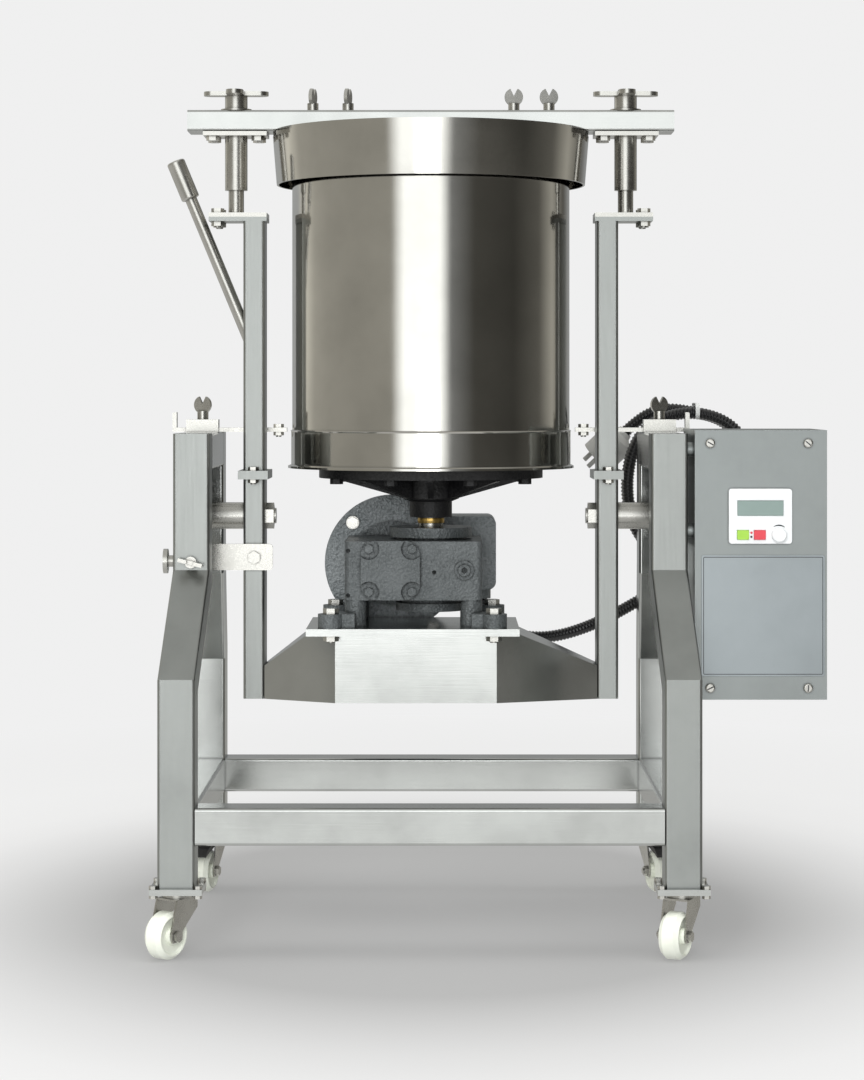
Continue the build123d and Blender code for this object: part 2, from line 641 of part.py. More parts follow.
def make_gearbox():
    case = block(BOX_LEFT, BOX_RIGHT, -BOX_DEPTH, BOX_DEPTH, BOX_BOTTOM, BOX_TOP)
    case = fillet(case.edges().filter_by(Axis.Z), 9.0)
    case += rod((0, 0, BOX_TOP), (0, 0, COVER_TOP - COVER_T), COVER_R - COVER_STEP)
    case += rod((0, 0, COVER_TOP - COVER_T), (0, 0, COVER_TOP), COVER_R)
    base_cover = BOX_BOTTOM - BASE_COVER_T
    case += rod((0, 0, BOX_BOTTOM - BASE_COVER_STEP), (0, 0, BOX_BOTTOM), COVER_R - 2 * COVER_STEP)
    case += rod((0, 0, base_cover), (0, 0, BOX_BOTTOM - BASE_COVER_STEP), COVER_R - COVER_STEP)
    case += rod((WORM_X, BOX_DEPTH, WORM_Z), (WORM_X, MOTOR_FRONT, WORM_Z), NECK_R)
    for x, y in gear_feet():
        side = -1 if x < 0 else 1
        stem_x = (BOX_LEFT if x < 0 else BOX_RIGHT) - side * 15
        stem_y = -BOX_DEPTH + 15 if y == GEAR_FOOT_FRONT else GEAR_FOOT_BACK
        stem = (stem_x, stem_y)
        case += rod((*stem, GEAR_BASE), (*stem, BOX_BOTTOM + 2), 15)
        pad = Rectangle(abs(x - stem_x), abs(y - stem_y) + GEAR_FOOT_R)
        arm = Pos((x + stem_x) / 2, (y + stem_y) / 2, GEAR_BASE) * pad
        case += extrude(arm, amount=GEAR_FOOT_T)
        case += rod((x, y, GEAR_BASE), (x, y, GEAR_BASE + GEAR_FOOT_T), GEAR_FOOT_R)
        case -= rod((x, y, GEAR_BASE - 1), (x, y, GEAR_BASE + GEAR_FOOT_T + 1), GEAR_BOLT_R + BOLT_SLIP)
    hollow_y = BOX_DEPTH - 2 * BOX_WALL
    case -= block(BOX_LEFT + BOX_WALL, BOX_RIGHT - BOX_WALL, -hollow_y, hollow_y, BOX_BOTTOM + 10, BOX_TOP - 10)
    case -= rod((0, 0, BOX_BOTTOM - 8), (0, 0, COVER_TOP + 1), OUTPUT_R + RUN_FIT)
    case -= rod((WORM_X, -BOX_DEPTH - 1, WORM_Z), (WORM_X, MOTOR_FRONT + 1, WORM_Z), WORM_SHAFT_R + RUN_FIT)
    front = -BOX_DEPTH
    plug_x = BOX_RIGHT - 25
    case -= rod((plug_x, front - 1, WORM_Z), (plug_x, front + 10, WORM_Z), OIL_PLUG_R + BOLT_SLIP)
    for x, z in TAPPED_AT:
        case -= rod((x, front - 1, z), (x, front + 8, z), TAPPED_R)
    for x, z in cap_corners():
        case -= rod((x, front - 1, z), (x, front + 10, z), CAP_SCREW_R + BOLT_SLIP)
    keep("gearbox_housing", case)

    cap = extrude(RectangleRounded(END_CAP, END_CAP, 20), amount=END_CAP_T)
    cap = Pos(WORM_X, front, WORM_Z) * Rot(90, 0, 0) * cap
    screws = []
    for x, z in cap_corners():
        floor_y = front - SCALLOP_FLOOR
        cap -= rod((x, front - END_CAP_T - 1, z), (x, floor_y, z), SCALLOP_R)
        cap -= rod((x, front - END_CAP_T - 1, z), (x, front + 1, z), CAP_SCREW_R + BOLT_SLIP)
        screw = rod((x, floor_y - 1, z), (x, front + 9, z), CAP_SCREW_R)
        screws.append(screw + hexagon((x, floor_y - 5, z), (x, floor_y, z), CAP_HEAD))
    keep("gearbox_end_cap", cap)
    plug = rod((plug_x, front, WORM_Z), (plug_x, front + 9, WORM_Z), OIL_PLUG_R)
    plug += rod((plug_x, front - 3, WORM_Z), (plug_x, front, WORM_Z), OIL_RIM_R)
    plug += rod((plug_x, front - 7, WORM_Z), (plug_x, front - 3, WORM_Z), OIL_PLUG_R)
    plug -= hexagon((plug_x, front - 8, WORM_Z), (plug_x, front - 2, WORM_Z), 8)
    keep("gearbox_screws", *screws, plug)


def turned_y(outline):
    """Revolves (radius, y) points about the worm axis."""
    face = make_face(Polyline(*outline, close=True))
    return Pos(WORM_X, 0, WORM_Z) * revolve(face, axis=Axis.Y)


def make_motor():
    bore = WORM_SHAFT_R + RUN_FIT
    flange_back = MOTOR_FRONT + MOTOR_FLANGE_T
    end_ring = MOTOR_BACK - 12
    hollow_r = ROTOR_R + 5
    body = turned_y([
        (bore, MOTOR_FRONT), (MOTOR_FLANGE_R, MOTOR_FRONT), (MOTOR_FLANGE_R, flange_back),
        (MOTOR_R + 8, flange_back), (MOTOR_R, flange_back + 14), (MOTOR_R, end_ring),
        (MOTOR_R + FIN_H, end_ring), (MOTOR_R + FIN_H, MOTOR_BACK), (bore, MOTOR_BACK),
        (bore, MOTOR_BACK - 10), (hollow_r, MOTOR_BACK - 10), (hollow_r, flange_back + 10), (bore, flange_back + 10),
    ])
    for i in range(FIN_COUNT):
        fin = block(-FIN_T / 2, FIN_T / 2, flange_back + 13, end_ring, MOTOR_R - 2, MOTOR_R + FIN_H)
        body += Pos(WORM_X, 0, WORM_Z) * Rot(0, 360 / FIN_COUNT * i, 0) * fin
    bolts = []
    for i in range(4):
        angle = math.radians(45 + 90 * i)
        x = WORM_X + MOTOR_BOLT_AT * math.cos(angle)
        z = WORM_Z + MOTOR_BOLT_AT * math.sin(angle)
        body -= rod((x, MOTOR_FRONT - 1, z), (x, flange_back + 1, z), MOTOR_BOLT_R)
        bolt = rod((x, MOTOR_FRONT - 1, z), (x, flange_back + 1, z), MOTOR_BOLT_R - BOLT_SLIP)
        bolt += rod((x, MOTOR_FRONT - WASHER_T, z), (x, MOTOR_FRONT, z), MOTOR_BOLT_R + WASHER_T + 2)
        bolt += hexagon((x, MOTOR_FRONT - WASHER_T - MOTOR_HEAD_H, z), (x, MOTOR_FRONT - WASHER_T, z), MOTOR_HEAD)
        bolts.append(bolt)
    box_left = WORM_X + MOTOR_R - 4
    body -= block(box_left, box_left + TERMINAL_SEAT, TERMINAL_FRONT, TERMINAL_BACK, TERMINAL_BOTTOM, TERMINAL_TOP)
    keep("motor_body", body)

    cowl_front = end_ring + 2
    inner = MOTOR_R + FIN_H + BOLT_SLIP
    cowl = turned_y([
        (inner, cowl_front), (COWL_R, cowl_front), (COWL_R, COWL_BACK - 8), (COWL_R - 8, COWL_BACK),
        (0, COWL_BACK), (0, COWL_BACK - 2), (COWL_R - 9, COWL_BACK - 2), (inner, COWL_BACK - 9),
    ])
    for ring, count in ((20, 6), (36, 12), (52, 18)):
        for i in range(count):
            angle = math.radians(360 / count * i)
            x = WORM_X + ring * math.cos(angle)
            z = WORM_Z + ring * math.sin(angle)
            cowl -= rod((x, COWL_BACK - 5, z), (x, COWL_BACK + 1, z), 5)
    keep("motor_cowl", cowl)

    case = block(box_left, TERMINAL_RIGHT, TERMINAL_FRONT, TERMINAL_BACK, TERMINAL_BOTTOM, TERMINAL_TOP)
    case = fillet(case.edges().filter_by(Axis.Y).group_by(Axis.X)[-1], 12.0)
    gland = MOTOR_ROUTE[0]
    case += rod((gland[0], gland[1], TERMINAL_BOTTOM), gland, GLAND_R - 1)
    keep("terminal_box", case)
    return bolts


def make_drive():
    output = rod((0, 0, BOX_BOTTOM - 8 + GAP), (0, 0, DRUM_BOTTOM - 2), OUTPUT_R)
    keep("output_shaft", output)
    half = WHEEL_GEAR_T / 2
    gear = rod((0, 0, WORM_Z - half), (0, 0, WORM_Z + half), WHEEL_GEAR_R)
    gear -= rod((0, 0, WORM_Z - half - 1), (0, 0, WORM_Z + half + 1), OUTPUT_R)
    keep("worm_wheel", gear)
    joint_y = MOTOR_FRONT + MOTOR_FLANGE_T
    screw = turned_y([
        (0, -BOX_DEPTH + 2), (WORM_SHAFT_R, -BOX_DEPTH + 2), (WORM_SHAFT_R, -WORM_HALF - WORM_TAPER),
        (WORM_R, -WORM_HALF), (WORM_R, WORM_HALF), (WORM_SHAFT_R, WORM_HALF + WORM_TAPER),
        (WORM_SHAFT_R, joint_y), (0, joint_y),
    ])
    front = joint_y + ROTOR_INSET
    back = MOTOR_BACK - ROTOR_INSET
    fan = MOTOR_BACK + 2 * FAN_T
    rotor = turned_y([
        (0, joint_y), (WORM_SHAFT_R, joint_y), (WORM_SHAFT_R, front), (ROTOR_R, front), (ROTOR_R, back),
        (WORM_SHAFT_R, back), (WORM_SHAFT_R, fan), (FAN_R, fan + 2), (FAN_R, fan + FAN_W + 2),
        (FAN_R - FAN_T, fan + FAN_W + 2), (FAN_R - FAN_T, fan + FAN_T + 2), (WORM_SHAFT_R, fan + FAN_T),
        (WORM_SHAFT_R, fan + FAN_W), (0, fan + FAN_W),
    ])
    keep("worm_shaft", screw, rotor)


# Drum and stones
SLAB_Z = DRUM_BOTTOM + DRUM_FLOOR
STONE_Z = SLAB_Z + SLAB_T + STONE_R + GAP


def turned_z(outline):
    """Revolves (radius, z) points about the drum axis."""
    return revolve(Plane.XZ * make_face(Polyline(*outline, close=True)), axis=Axis.Z)


def make_drum():
    inner = DRUM_R - DRUM_WALL
    shell = turned_z([
        (0, DRUM_BOTTOM), (DRUM_RIM_R, DRUM_BOTTOM), (DRUM_RIM_R, DRUM_BOTTOM + 3),
        (DRUM_BAND_R, DRUM_BOTTOM + 5), (DRUM_BAND_R, DRUM_BAND_TOP - 3), (DRUM_BAND_R + 1, DRUM_BAND_TOP - 1.5),
        (DRUM_R, DRUM_BAND_TOP), (DRUM_R, DRUM_TOP), (inner, DRUM_TOP), (inner, SLAB_Z), (0, SLAB_Z),
    ])
    keep("drum_shell", shell)
    slab_r = inner - BOLT_SLIP
    slab = turned_z([
        (SLAB_HOLE_R, SLAB_Z), (slab_r, SLAB_Z), (slab_r, SLAB_Z + SLAB_T), (SLAB_HOLE_R, SLAB_Z + SLAB_T),
    ])
    keep("drum_base_stone", slab)

    disc_bottom = DRUM_BOTTOM - DISC_T
    hub_bottom = DRUM_BOTTOM - HUB_H
    hub = turned_z([
        (OUTPUT_R, hub_bottom), (HUB_R, hub_bottom), (HUB_R, hub_bottom + 22), (HUB_R + 10, hub_bottom + 26),
        (HUB_R + 10, disc_bottom), (DISC_R, disc_bottom), (DISC_R, DRUM_BOTTOM), (OUTPUT_R, DRUM_BOTTOM),
    ])
    rib_end = DISC_R - RIB_INSET
    rib_points = [
        (HUB_R, hub_bottom + 24), (rib_end, disc_bottom - 3), (rib_end, disc_bottom + 1), (HUB_R, disc_bottom + 1),
    ]
    rib_face = Plane.XZ * make_face(Polyline(*rib_points, close=True))
    rib = extrude(rib_face, amount=RIB_T / 2, both=True)
    for i in range(RIB_COUNT):
        hub += Rot(0, 0, 360 / RIB_COUNT * i) * rib
    bolts = []
    for i in range(RIB_COUNT):
        angle = math.radians(360 / RIB_COUNT * (i + 0.5))
        x = DISC_BOLT_AT * math.cos(angle)
        y = DISC_BOLT_AT * math.sin(angle)
        hub -= rod((x, y, disc_bottom - 1), (x, y, DRUM_BOTTOM + 1), DISC_BOLT_R + BOLT_SLIP)
        screw = rod((x, y, disc_bottom - 3), (x, y, DRUM_BOTTOM - GAP), DISC_BOLT_R)
        bolts.append(screw + hexagon((x, y, disc_bottom - 8), (x, y, disc_bottom), 16))
    keep("drum_carrier", hub)
    keep("drum_bolts", *bolts)


def make_stones():
    bore = STONE_AXLE_R + RUN_FIT
    out = STONE_IN + STONE_W
    stone = rod((STONE_IN, 0, STONE_Z), (out, 0, STONE_Z), STONE_R)
    stone = chamfer(stone.edges().filter_by(GeomType.CIRCLE), 6.0)
    stone -= rod((STONE_IN - 1, 0, STONE_Z), (out + 1, 0, STONE_Z), bore)
    keep("roller_stone_right", stone)
    keep("roller_stone_left", other_side(stone))

    lid_under = BEAM_BOTTOM - LID_T
    hub_half = STONE_IN - 4
    yoke = block(
        -hub_half, hub_half, -YOKE_DEPTH, YOKE_DEPTH, STONE_Z - YOKE_BELOW, STONE_Z + YOKE_ABOVE)
    yoke = fillet(yoke.edges().filter_by(Axis.Z), 8.0)
    yoke += rod((0, 0, STONE_Z), (0, 0, lid_under), YOKE_R)
    yoke += rod((0, 0, lid_under - YOKE_FLANGE_T), (0, 0, lid_under), YOKE_FLANGE_R)
    yoke += rod((-out - 1, 0, STONE_Z), (out + 1, 0, STONE_Z), STONE_AXLE_R)
    collar = rod((out + 1, 0, STONE_Z), (out + 1 + COLLAR_T, 0, STONE_Z), COLLAR_R)
    yoke += collar + other_side(collar)
    keep("stone_yoke", yoke)


# Head: beam, lid, sleeves and nuts
SLEEVE_PLATE_OUT = PLATE_OUT + 8


def wing_screw(shank, turn):
    """Wing screw standing on Z = 0: boss, upright disc with a notch, and a shank below."""
    screw = rod((0, 0, -shank), (0, 0, 2), WING_SHANK_R)
    screw += rod((0, 0, 0), (0, 0, 12), 8)
    centre = 12 + WING_DISC_R - 4
    half = WING_DISC_T / 2
    disc = rod((0, -half, centre), (0, half, centre), WING_DISC_R)
    notch = [(0, centre + 1), (7, centre + WING_DISC_R + 2), (-7, centre + WING_DISC_R + 2)]
    disc -= extrude(Plane.XZ * make_face(Polyline(*notch, close=True)), amount=WING_DISC_T, both=True)
    return Rot(0, 0, turn) * (screw + disc)


def make_head():
    beam_mid = BEAM_BOTTOM + BEAM_H / 2
    outer = extrude(RectangleRounded(BEAM_H, BEAM_D, TUBE_ROUND), amount=BEAM_HALF, both=True)
    hollow = RectangleRounded(BEAM_H - 2 * BEAM_WALL, BEAM_D - 2 * BEAM_WALL, TUBE_ROUND - 1)
    inner = extrude(hollow, amount=BEAM_HALF - BEAM_WALL, both=True)
    beam = Pos(0, 0, beam_mid) * Rot(0, 90, 0) * (outer - inner)
    under = BEAM_BOTTOM - LID_T
    rim = LID_R - LID_T
    lid = rod((0, 0, under), (0, 0, BEAM_BOTTOM), rim)
    skirt = turned_z([
        (LID_LIP_R - LID_T, LID_LIP_Z), (LID_LIP_R, LID_LIP_Z), (LID_R, BEAM_BOTTOM), (rim, BEAM_BOTTOM),
        (rim, under),
    ])
    top = BEAM_BOTTOM + BEAM_H
    screws = []
    for x in WING_X:
        shank = BEAM_H + LID_T + 14
        hole = rod((x, 0, top - shank - 1), (x, 0, top + 1), WING_SHANK_R + BOLT_SLIP)
        beam -= hole
        lid -= hole
        screws.append(Pos(x, 0, top) * wing_screw(shank, 75 if x < 0 else 8))
    flange_z = BEAM_BOTTOM - PLATE_T
    sleeve = rod((COLUMN_X, 0, SLEEVE_BOTTOM), (COLUMN_X, 0, flange_z), SLEEVE_R)
    sleeve += block(PLATE_IN, SLEEVE_PLATE_OUT, -POST_D / 2, POST_D / 2, flange_z, BEAM_BOTTOM)
    sleeve -= rod((COLUMN_X, 0, SLEEVE_BOTTOM - 1), (COLUMN_X, 0, BEAM_BOTTOM + 1), COLUMN_R + SLIP)
    bolts = []
    for x in (PLATE_IN + PLATE_INSET + 1, SLEEVE_PLATE_OUT - PLATE_INSET - 1):
        for sy in (-1, 1):
            y = sy * PLATE_BOLT_Y
            hole = rod((x, y, flange_z - 1), (x, y, beam_mid), PLATE_BOLT_R + BOLT_SLIP)
            sleeve -= hole
            beam -= hole + other_side(hole)
            pair = bolt((x, y, flange_z), (x, y, BEAM_BOTTOM + BEAM_WALL), PLATE_BOLT_R, 16.0)
            bolts += [pair, other_side(pair)]
    room = block(PLATE_IN - 12, LID_R + 5, -POST_D / 2 - 1, POST_D / 2 + 1, flange_z - 1, BEAM_BOTTOM + 1)
    lid -= room + other_side(room)
    skirt -= room + other_side(room)
    bore = rod((COLUMN_X, 0, BEAM_BOTTOM - 1), (COLUMN_X, 0, top + 1), COLUMN_R + BOLT_SLIP)
    beam -= bore + other_side(bore)
    keep("head_beam", beam)
    keep("lid", lid, skirt)
    keep("beam_sleeves", other_side(sleeve), sleeve)
    keep("head_screws", *bolts, *screws)


def make_hand_nuts():
    seat = BEAM_BOTTOM + BEAM_H + GAP
    top = seat + HAND_NUT_H
    nut = rod((0, 0, seat), (0, 0, top), HAND_NUT_R)
    nut += rod((0, 0, seat), (0, 0, seat + 3), HAND_NUT_R + 6)
    arm = extrude(SlotOverall(STAR_SPAN, STAR_ARM), amount=STAR_T)
    star = arm + Rot(0, 0, 90) * arm
    nut += Pos(0, 0, top - STAR_T) * star
    nut -= rod((0, 0, seat - 1), (0, 0, COLUMN_TOP + 2), COLUMN_R + BOLT_SLIP)
    keep("hand_nut_left", Pos(-COLUMN_X, 0, 0) * nut)
    keep("hand_nut_right", Pos(COLUMN_X, 0, 0) * nut)


# Lock bars
LOCK_BOTTOM = LEG_TOP + GAP


def make_locks():
    back = LOCK_FRONT + LOCK_W
    top = LOCK_BOTTOM + LOCK_T
    bar = block(LOCK_IN, LOCK_OUT, LOCK_FRONT, back, LOCK_BOTTOM, top)
    bar += block(LOCK_OUT, LOCK_OUT + LOCK_T, LOCK_FRONT, back, LOCK_BOTTOM, top + LOCK_HOOK)
    bar = fillet(bar.edges().filter_by(Axis.Y).group_by(Axis.X)[-1], 2.5)
    mid = LOCK_FRONT + LOCK_W / 2
    hole = rod((LOCK_BOLT_X, mid, LOCK_BOTTOM - 1), (LOCK_BOLT_X, mid, top + 1), JOINT_BOLT_R + BOLT_SLIP)
    bar -= hole
    pin = bolt((LOCK_BOLT_X, mid, top), (LOCK_BOLT_X, mid, LOCK_BOTTOM), JOINT_BOLT_R, 13.0)
    keep("lock_bar_right", bar, pin)
    keep("lock_bar_left", other_side(bar), other_side(pin))

    guide = block(
        HEAD_X - GUIDE_W / 2, HEAD_X + GUIDE_W / 2, LOCK_FRONT - GUIDE_WALL, back + GUIDE_WALL,
        LEG_TOP, LEG_TOP + GUIDE_H)
    guide -= block(
        HEAD_X - GUIDE_W, HEAD_X + GUIDE_W, LOCK_FRONT - GAP, back + GAP, LEG_TOP - 1, top + GAP)
    guide_top = LEG_TOP + GUIDE_H
    shank = guide_top - top - 2 * GAP
    guide -= rod((HEAD_X, mid, top), (HEAD_X, mid, guide_top + 1), WING_SHANK_R + BOLT_SLIP)
    keep("lock_guides", other_side(guide), guide)
    screw = Pos(HEAD_X, mid, guide_top) * wing_screw(shank, 20)

    front = -HEAD_Y - TUBE / 2
    tip = -POST_D / 2 - STRAP_T - GAP
    stop = rod((-HEAD_X, front - 2, STOP_Z), (-HEAD_X, tip, STOP_Z), STOP_SCREW_R)
    stop += rod((-HEAD_X, front - 9, STOP_Z), (-HEAD_X, front, STOP_Z), 8)
    wing = block(-17, 17, -22, -8, -2.5, 2.5)
    wing -= block(-5, 5, -23, -15, -3, 3)
    stop += Pos(-HEAD_X, front, STOP_Z) * Rot(0, 14, 0) * wing
    side = -HEAD_X - TUBE / 2
    clamp = rod((side - 9, -HEAD_Y, STOP_Z), (side + 14, -HEAD_Y, STOP_Z), STOP_SCREW_R)
    clamp += rod((side - 15, -HEAD_Y, STOP_Z), (side - 9, -HEAD_Y, STOP_Z), 17)
    clamp += rod((side - 9, -HEAD_Y, STOP_Z), (side, -HEAD_Y, STOP_Z), 8)
    return [screw, other_side(screw), stop, clamp]


# Control box
def make_control():
    shell = block(CASE_LEFT, CASE_RIGHT, CASE_FRONT + CASE_WALL, CASE_BACK, CASE_BOTTOM, CASE_TOP)
    shell -= block(
        CASE_LEFT + CASE_WALL, CASE_RIGHT - CASE_WALL, CASE_FRONT, CASE_BACK - CASE_WALL,
        CASE_BOTTOM + CASE_WALL, CASE_TOP - CASE_WALL)
    for z in CASE_SPACER_Z:
        shell += rod((HEAD_X + TUBE / 2, -HEAD_Y, z), (CASE_LEFT, -HEAD_Y, z), CASE_SPACER_R)
    cover = block(CASE_LEFT, CASE_RIGHT, CASE_FRONT, CASE_FRONT + CASE_WALL, CASE_BOTTOM, CASE_TOP)
    screws = []
    for x in COVER_SCREW_X:
        for z in COVER_SCREW_Z:
            back = CASE_FRONT + 20
            tab_x = CASE_LEFT + CASE_WALL if x < KEYPAD_X else CASE_RIGHT - CASE_WALL
            shell += block(min(x - 6, tab_x), max(x + 6, tab_x), CASE_FRONT + CASE_WALL, back, z - 6, z + 6)
            hole = rod((x, CASE_FRONT - 1, z), (x, back - 2, z), 3 + BOLT_SLIP)
            cover -= hole
            shell -= hole
            screw = rod((x, CASE_FRONT - 1, z), (x, back - 4, z), 3)
            head = rod((x, CASE_FRONT - 3.5, z), (x, CASE_FRONT, z), 6.5)
            screws.append(screw + fillet(head.edges().group_by(Axis.Y)[0], 2.0))
    keep("control_box", shell)

    half_w = KEYPAD_W / 2
    half_h = KEYPAD_H / 2
    face = CASE_FRONT - KEYPAD_T
    pad = block(KEYPAD_X - half_w, KEYPAD_X + half_w, face, CASE_FRONT, KEYPAD_Z - half_h, KEYPAD_Z + half_h)
    pad = fillet(pad.edges().filter_by(Axis.Y), 4.0)
    pad -= block(KEYPAD_X - 32, KEYPAD_X + 32, face - 1, face + 2, KEYPAD_Z, KEYPAD_Z + 22)
    key_depth = KEYPAD_T - 2
    for name, x in (("start_key", START_X), ("stop_key", STOP_X)):
        hole_w = KEY_W / 2 + GAP
        hole_h = KEY_H / 2 + GAP
        pad -= block(x - hole_w, x + hole_w, face - 1, face + key_depth, KEY_Z - hole_h, KEY_Z + hole_h)
        key = block(
            x - KEY_W / 2, x + KEY_W / 2, face - KEY_PROUD, face + key_depth - KEY_PROUD - GAP,
            KEY_Z - KEY_H / 2, KEY_Z + KEY_H / 2)
        keep(name, fillet(key.edges().filter_by(Axis.Y), 2.0))
    pad -= rod((KNOB_X, face - 1, KEY_Z), (KNOB_X, face + key_depth, KEY_Z), 3 + RUN_FIT)
    knob = rod((KNOB_X, face - KNOB_PROUD, KEY_Z), (KNOB_X, face - GAP, KEY_Z), KNOB_R)
    knob = chamfer(knob.edges().group_by(Axis.Y)[0], 1.5)
    knob_face = face - KNOB_PROUD
    knob -= block(KNOB_X - 1, KNOB_X + 1, knob_face - 1, knob_face + 1.5, KEY_Z + 2, KEY_Z + KNOB_R + 1)
    knob += rod((KNOB_X, face - GAP, KEY_Z), (KNOB_X, face + key_depth - GAP, KEY_Z), 3)
    keep("keypad_knob", knob)
    keep("keypad", pad)
    keep("control_cover", cover)
    return screws


# Conduits: hand-chosen routes of the centre lines
MOTOR_ROUTE = [
    (75, 178, 445), (75, 178, 424), (96, 178, 400), (135, 180, 387), (180, 184, 386), (228, 198, 398),
    (278, 226, 418), (326, 244, 444), (374, 236, 466), (412, 202, 476), (432, 152, 468), (436, 96, 460),
    (436, CASE_BACK + GLAND_T, 460),
]
SUPPLY_START = [
    (480, CASE_BACK + GLAND_T, 392), (480, 85, 392), (482, 125, 412), (484, 150, 452), (484, 160, 505),
    (482, 163, 560),
]
SUPPLY_TAIL = [(352, 213, 727), (318, 221, 717), (292, 227, 692)]


def route_radii(points):
    """Bend radius at each inner point: as large as its two runs allow."""
    radii = []
    for before, here, after in zip(points, points[1:], points[2:]):
        into = Vector(here) - Vector(before)
        out = Vector(after) - Vector(here)
        turn = math.radians(into.get_angle(out))
        radii.append(0.45 * min(into.length, out.length) / math.tan(turn / 2))
    return radii


def hose_plane(path, place):
    """Section plane whose X axis keeps steady along the whole route."""
    along = path.tangent_at(place)
    return Plane(origin=path.position_at(place), x_dir=Vector(-1, 1, 1).cross(along), z_dir=along)


def ribbed_hose(path, ribs):
    """Ruled spans through four circles a rib, joined end to end, with the bore through them."""
    count = 4 * ribs
    rises = (0.0, 0.0, HOSE_RIB, HOSE_RIB)
    low_r = HOSE_R - HOSE_RIB
    sections = [hose_plane(path, i / count) * Circle(low_r + rises[i % 4]) for i in range(count + 1)]
    step = 4 * HOSE_SPAN
    spans = [loft(sections[i:i + step + 1], ruled=True) for i in range(0, count, step)]
    outside = spans[0].fuse(*spans[1:])
    return outside - sweep(hose_plane(path, 0) * Circle(HOSE_BORE_R), path=path)


def make_motor_conduit():
    radii = route_radii(MOTOR_ROUTE)
    path = FilletPolyline(*MOTOR_ROUTE, radius=radii)
    print("motor conduit length", round(path.length, 1), "radii", [round(r) for r in radii])
    keep("motor_conduit", ribbed_hose(path, MOTOR_RIBS))


def coil_points():
    """Oval turns, one behind the other, twelve points a turn."""
    points = []
    for degrees in range(COIL_FIRST, COIL_LAST + 1, 30):
        angle = math.radians(degrees)
        across = math.copysign(abs(math.cos(angle)) ** COIL_SQUARE, math.cos(angle))
        up = math.copysign(abs(math.sin(angle)) ** COIL_SQUARE, math.sin(angle))
        y = COIL_FRONT + COIL_PITCH * degrees / 360
        points.append((COIL_X + COIL_HALF_W * across, y, COIL_Z + COIL_HALF_H * up))
    return points


def self_gap(path, diameter):
    """Least gap between stretches of a tube that lie more than a quarter turn apart."""
    count = 400
    places = [path.position_at(i / count) for i in range(count + 1)]
    apart = int(count * 0.25 * math.tau * COIL_HALF_W / path.length)
    least = min((a - b).length for i, a in enumerate(places) for b in places[i + apart:])
    return least - diameter


def make_supply():
    points = SUPPLY_START + coil_points() + SUPPLY_TAIL
    radii = route_radii(points)
    path = FilletPolyline(*points, radius=radii)
    print("supply conduit length", round(path.length, 1), "radii", round(min(radii)), round(max(radii)))
    print("supply conduit least gap to itself", round(self_gap(path, 2 * HOSE_R), 2))
    back = HEAD_Y + TUBE / 2
    peg = Edge.make_line((HEAD_X, back, LEG_TOP - PEG_BELOW), (HEAD_X, back + PEG_REACH, LEG_TOP - PEG_BELOW))
    print("supply conduit gap to its peg", round(path.distance_to(peg) - HOSE_R - PEG_R, 2))
    ring = Circle(HOSE_R) - Circle(HOSE_BORE_R)
    keep("supply_conduit", sweep(hose_plane(path, 0) * ring, path=path))

    end = hose_plane(path, 1)
    outline = [
        (0, 0), (HOSE_R + 2, 0), (HOSE_R + 4, 6), (PLUG_R - 3, 13), (PLUG_R, 22),
        (PLUG_R, PLUG_LENGTH), (0, PLUG_LENGTH),
    ]
    plug = turned_z(outline)
    for angle in (90, 210, 330):
        x = PLUG_R * 0.5 * math.cos(math.radians(angle))
        y = PLUG_R * 0.5 * math.sin(math.radians(angle))
        plug += rod((x, y, PLUG_LENGTH - 2), (x, y, PLUG_LENGTH + PIN_LENGTH), PIN_R)
    keep("supply_plug", end.location * plug)

    glands = []
    for x, y, z in (MOTOR_ROUTE[-1], SUPPLY_START[0]):
        nut = hexagon((x, CASE_BACK, z), (x, CASE_BACK + 7, z), 2 * GLAND_R)
        glands.append(nut + rod((x, CASE_BACK, z), (x, y, z), GLAND_R - 2))
    keep("box_glands", *glands)


def export_all():
    os.makedirs("parts", exist_ok=True)
    for name, solids in PIECES.items():
        export_step(Compound(children=solids), "parts/" + name + ".step")
    print(len(PIECES), "sub-parts")


make_legs()
make_rails()
make_bearings()
base_bolts = make_foot_plates()
make_casters()
make_trunnions()
cradle_bolts = make_posts()
make_bridge()
cradle_bolts += make_strap()
make_handle()
cradle_bolts += make_motor_plate()
make_gearbox()
cradle_bolts += make_motor()
make_drive()
make_drum()
make_stones()
make_head()
make_hand_nuts()
base_bolts += make_locks()
base_bolts += make_control()
keep("base_screws", *base_bolts)
keep("cradle_screws", *cradle_bolts)
make_motor_conduit()
make_supply()
export_all()
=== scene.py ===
import json
import math

import bmesh
import bpy
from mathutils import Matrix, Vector


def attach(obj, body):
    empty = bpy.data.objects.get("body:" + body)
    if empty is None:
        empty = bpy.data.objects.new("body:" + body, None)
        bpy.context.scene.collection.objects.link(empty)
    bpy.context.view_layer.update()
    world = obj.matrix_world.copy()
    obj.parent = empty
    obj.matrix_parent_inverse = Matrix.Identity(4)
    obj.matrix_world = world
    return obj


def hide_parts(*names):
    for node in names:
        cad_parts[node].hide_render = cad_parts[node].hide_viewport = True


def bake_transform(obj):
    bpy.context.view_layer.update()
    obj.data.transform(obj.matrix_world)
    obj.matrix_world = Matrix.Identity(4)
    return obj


# Tilting chocolate melanger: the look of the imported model, in metres, in the model's own frame.

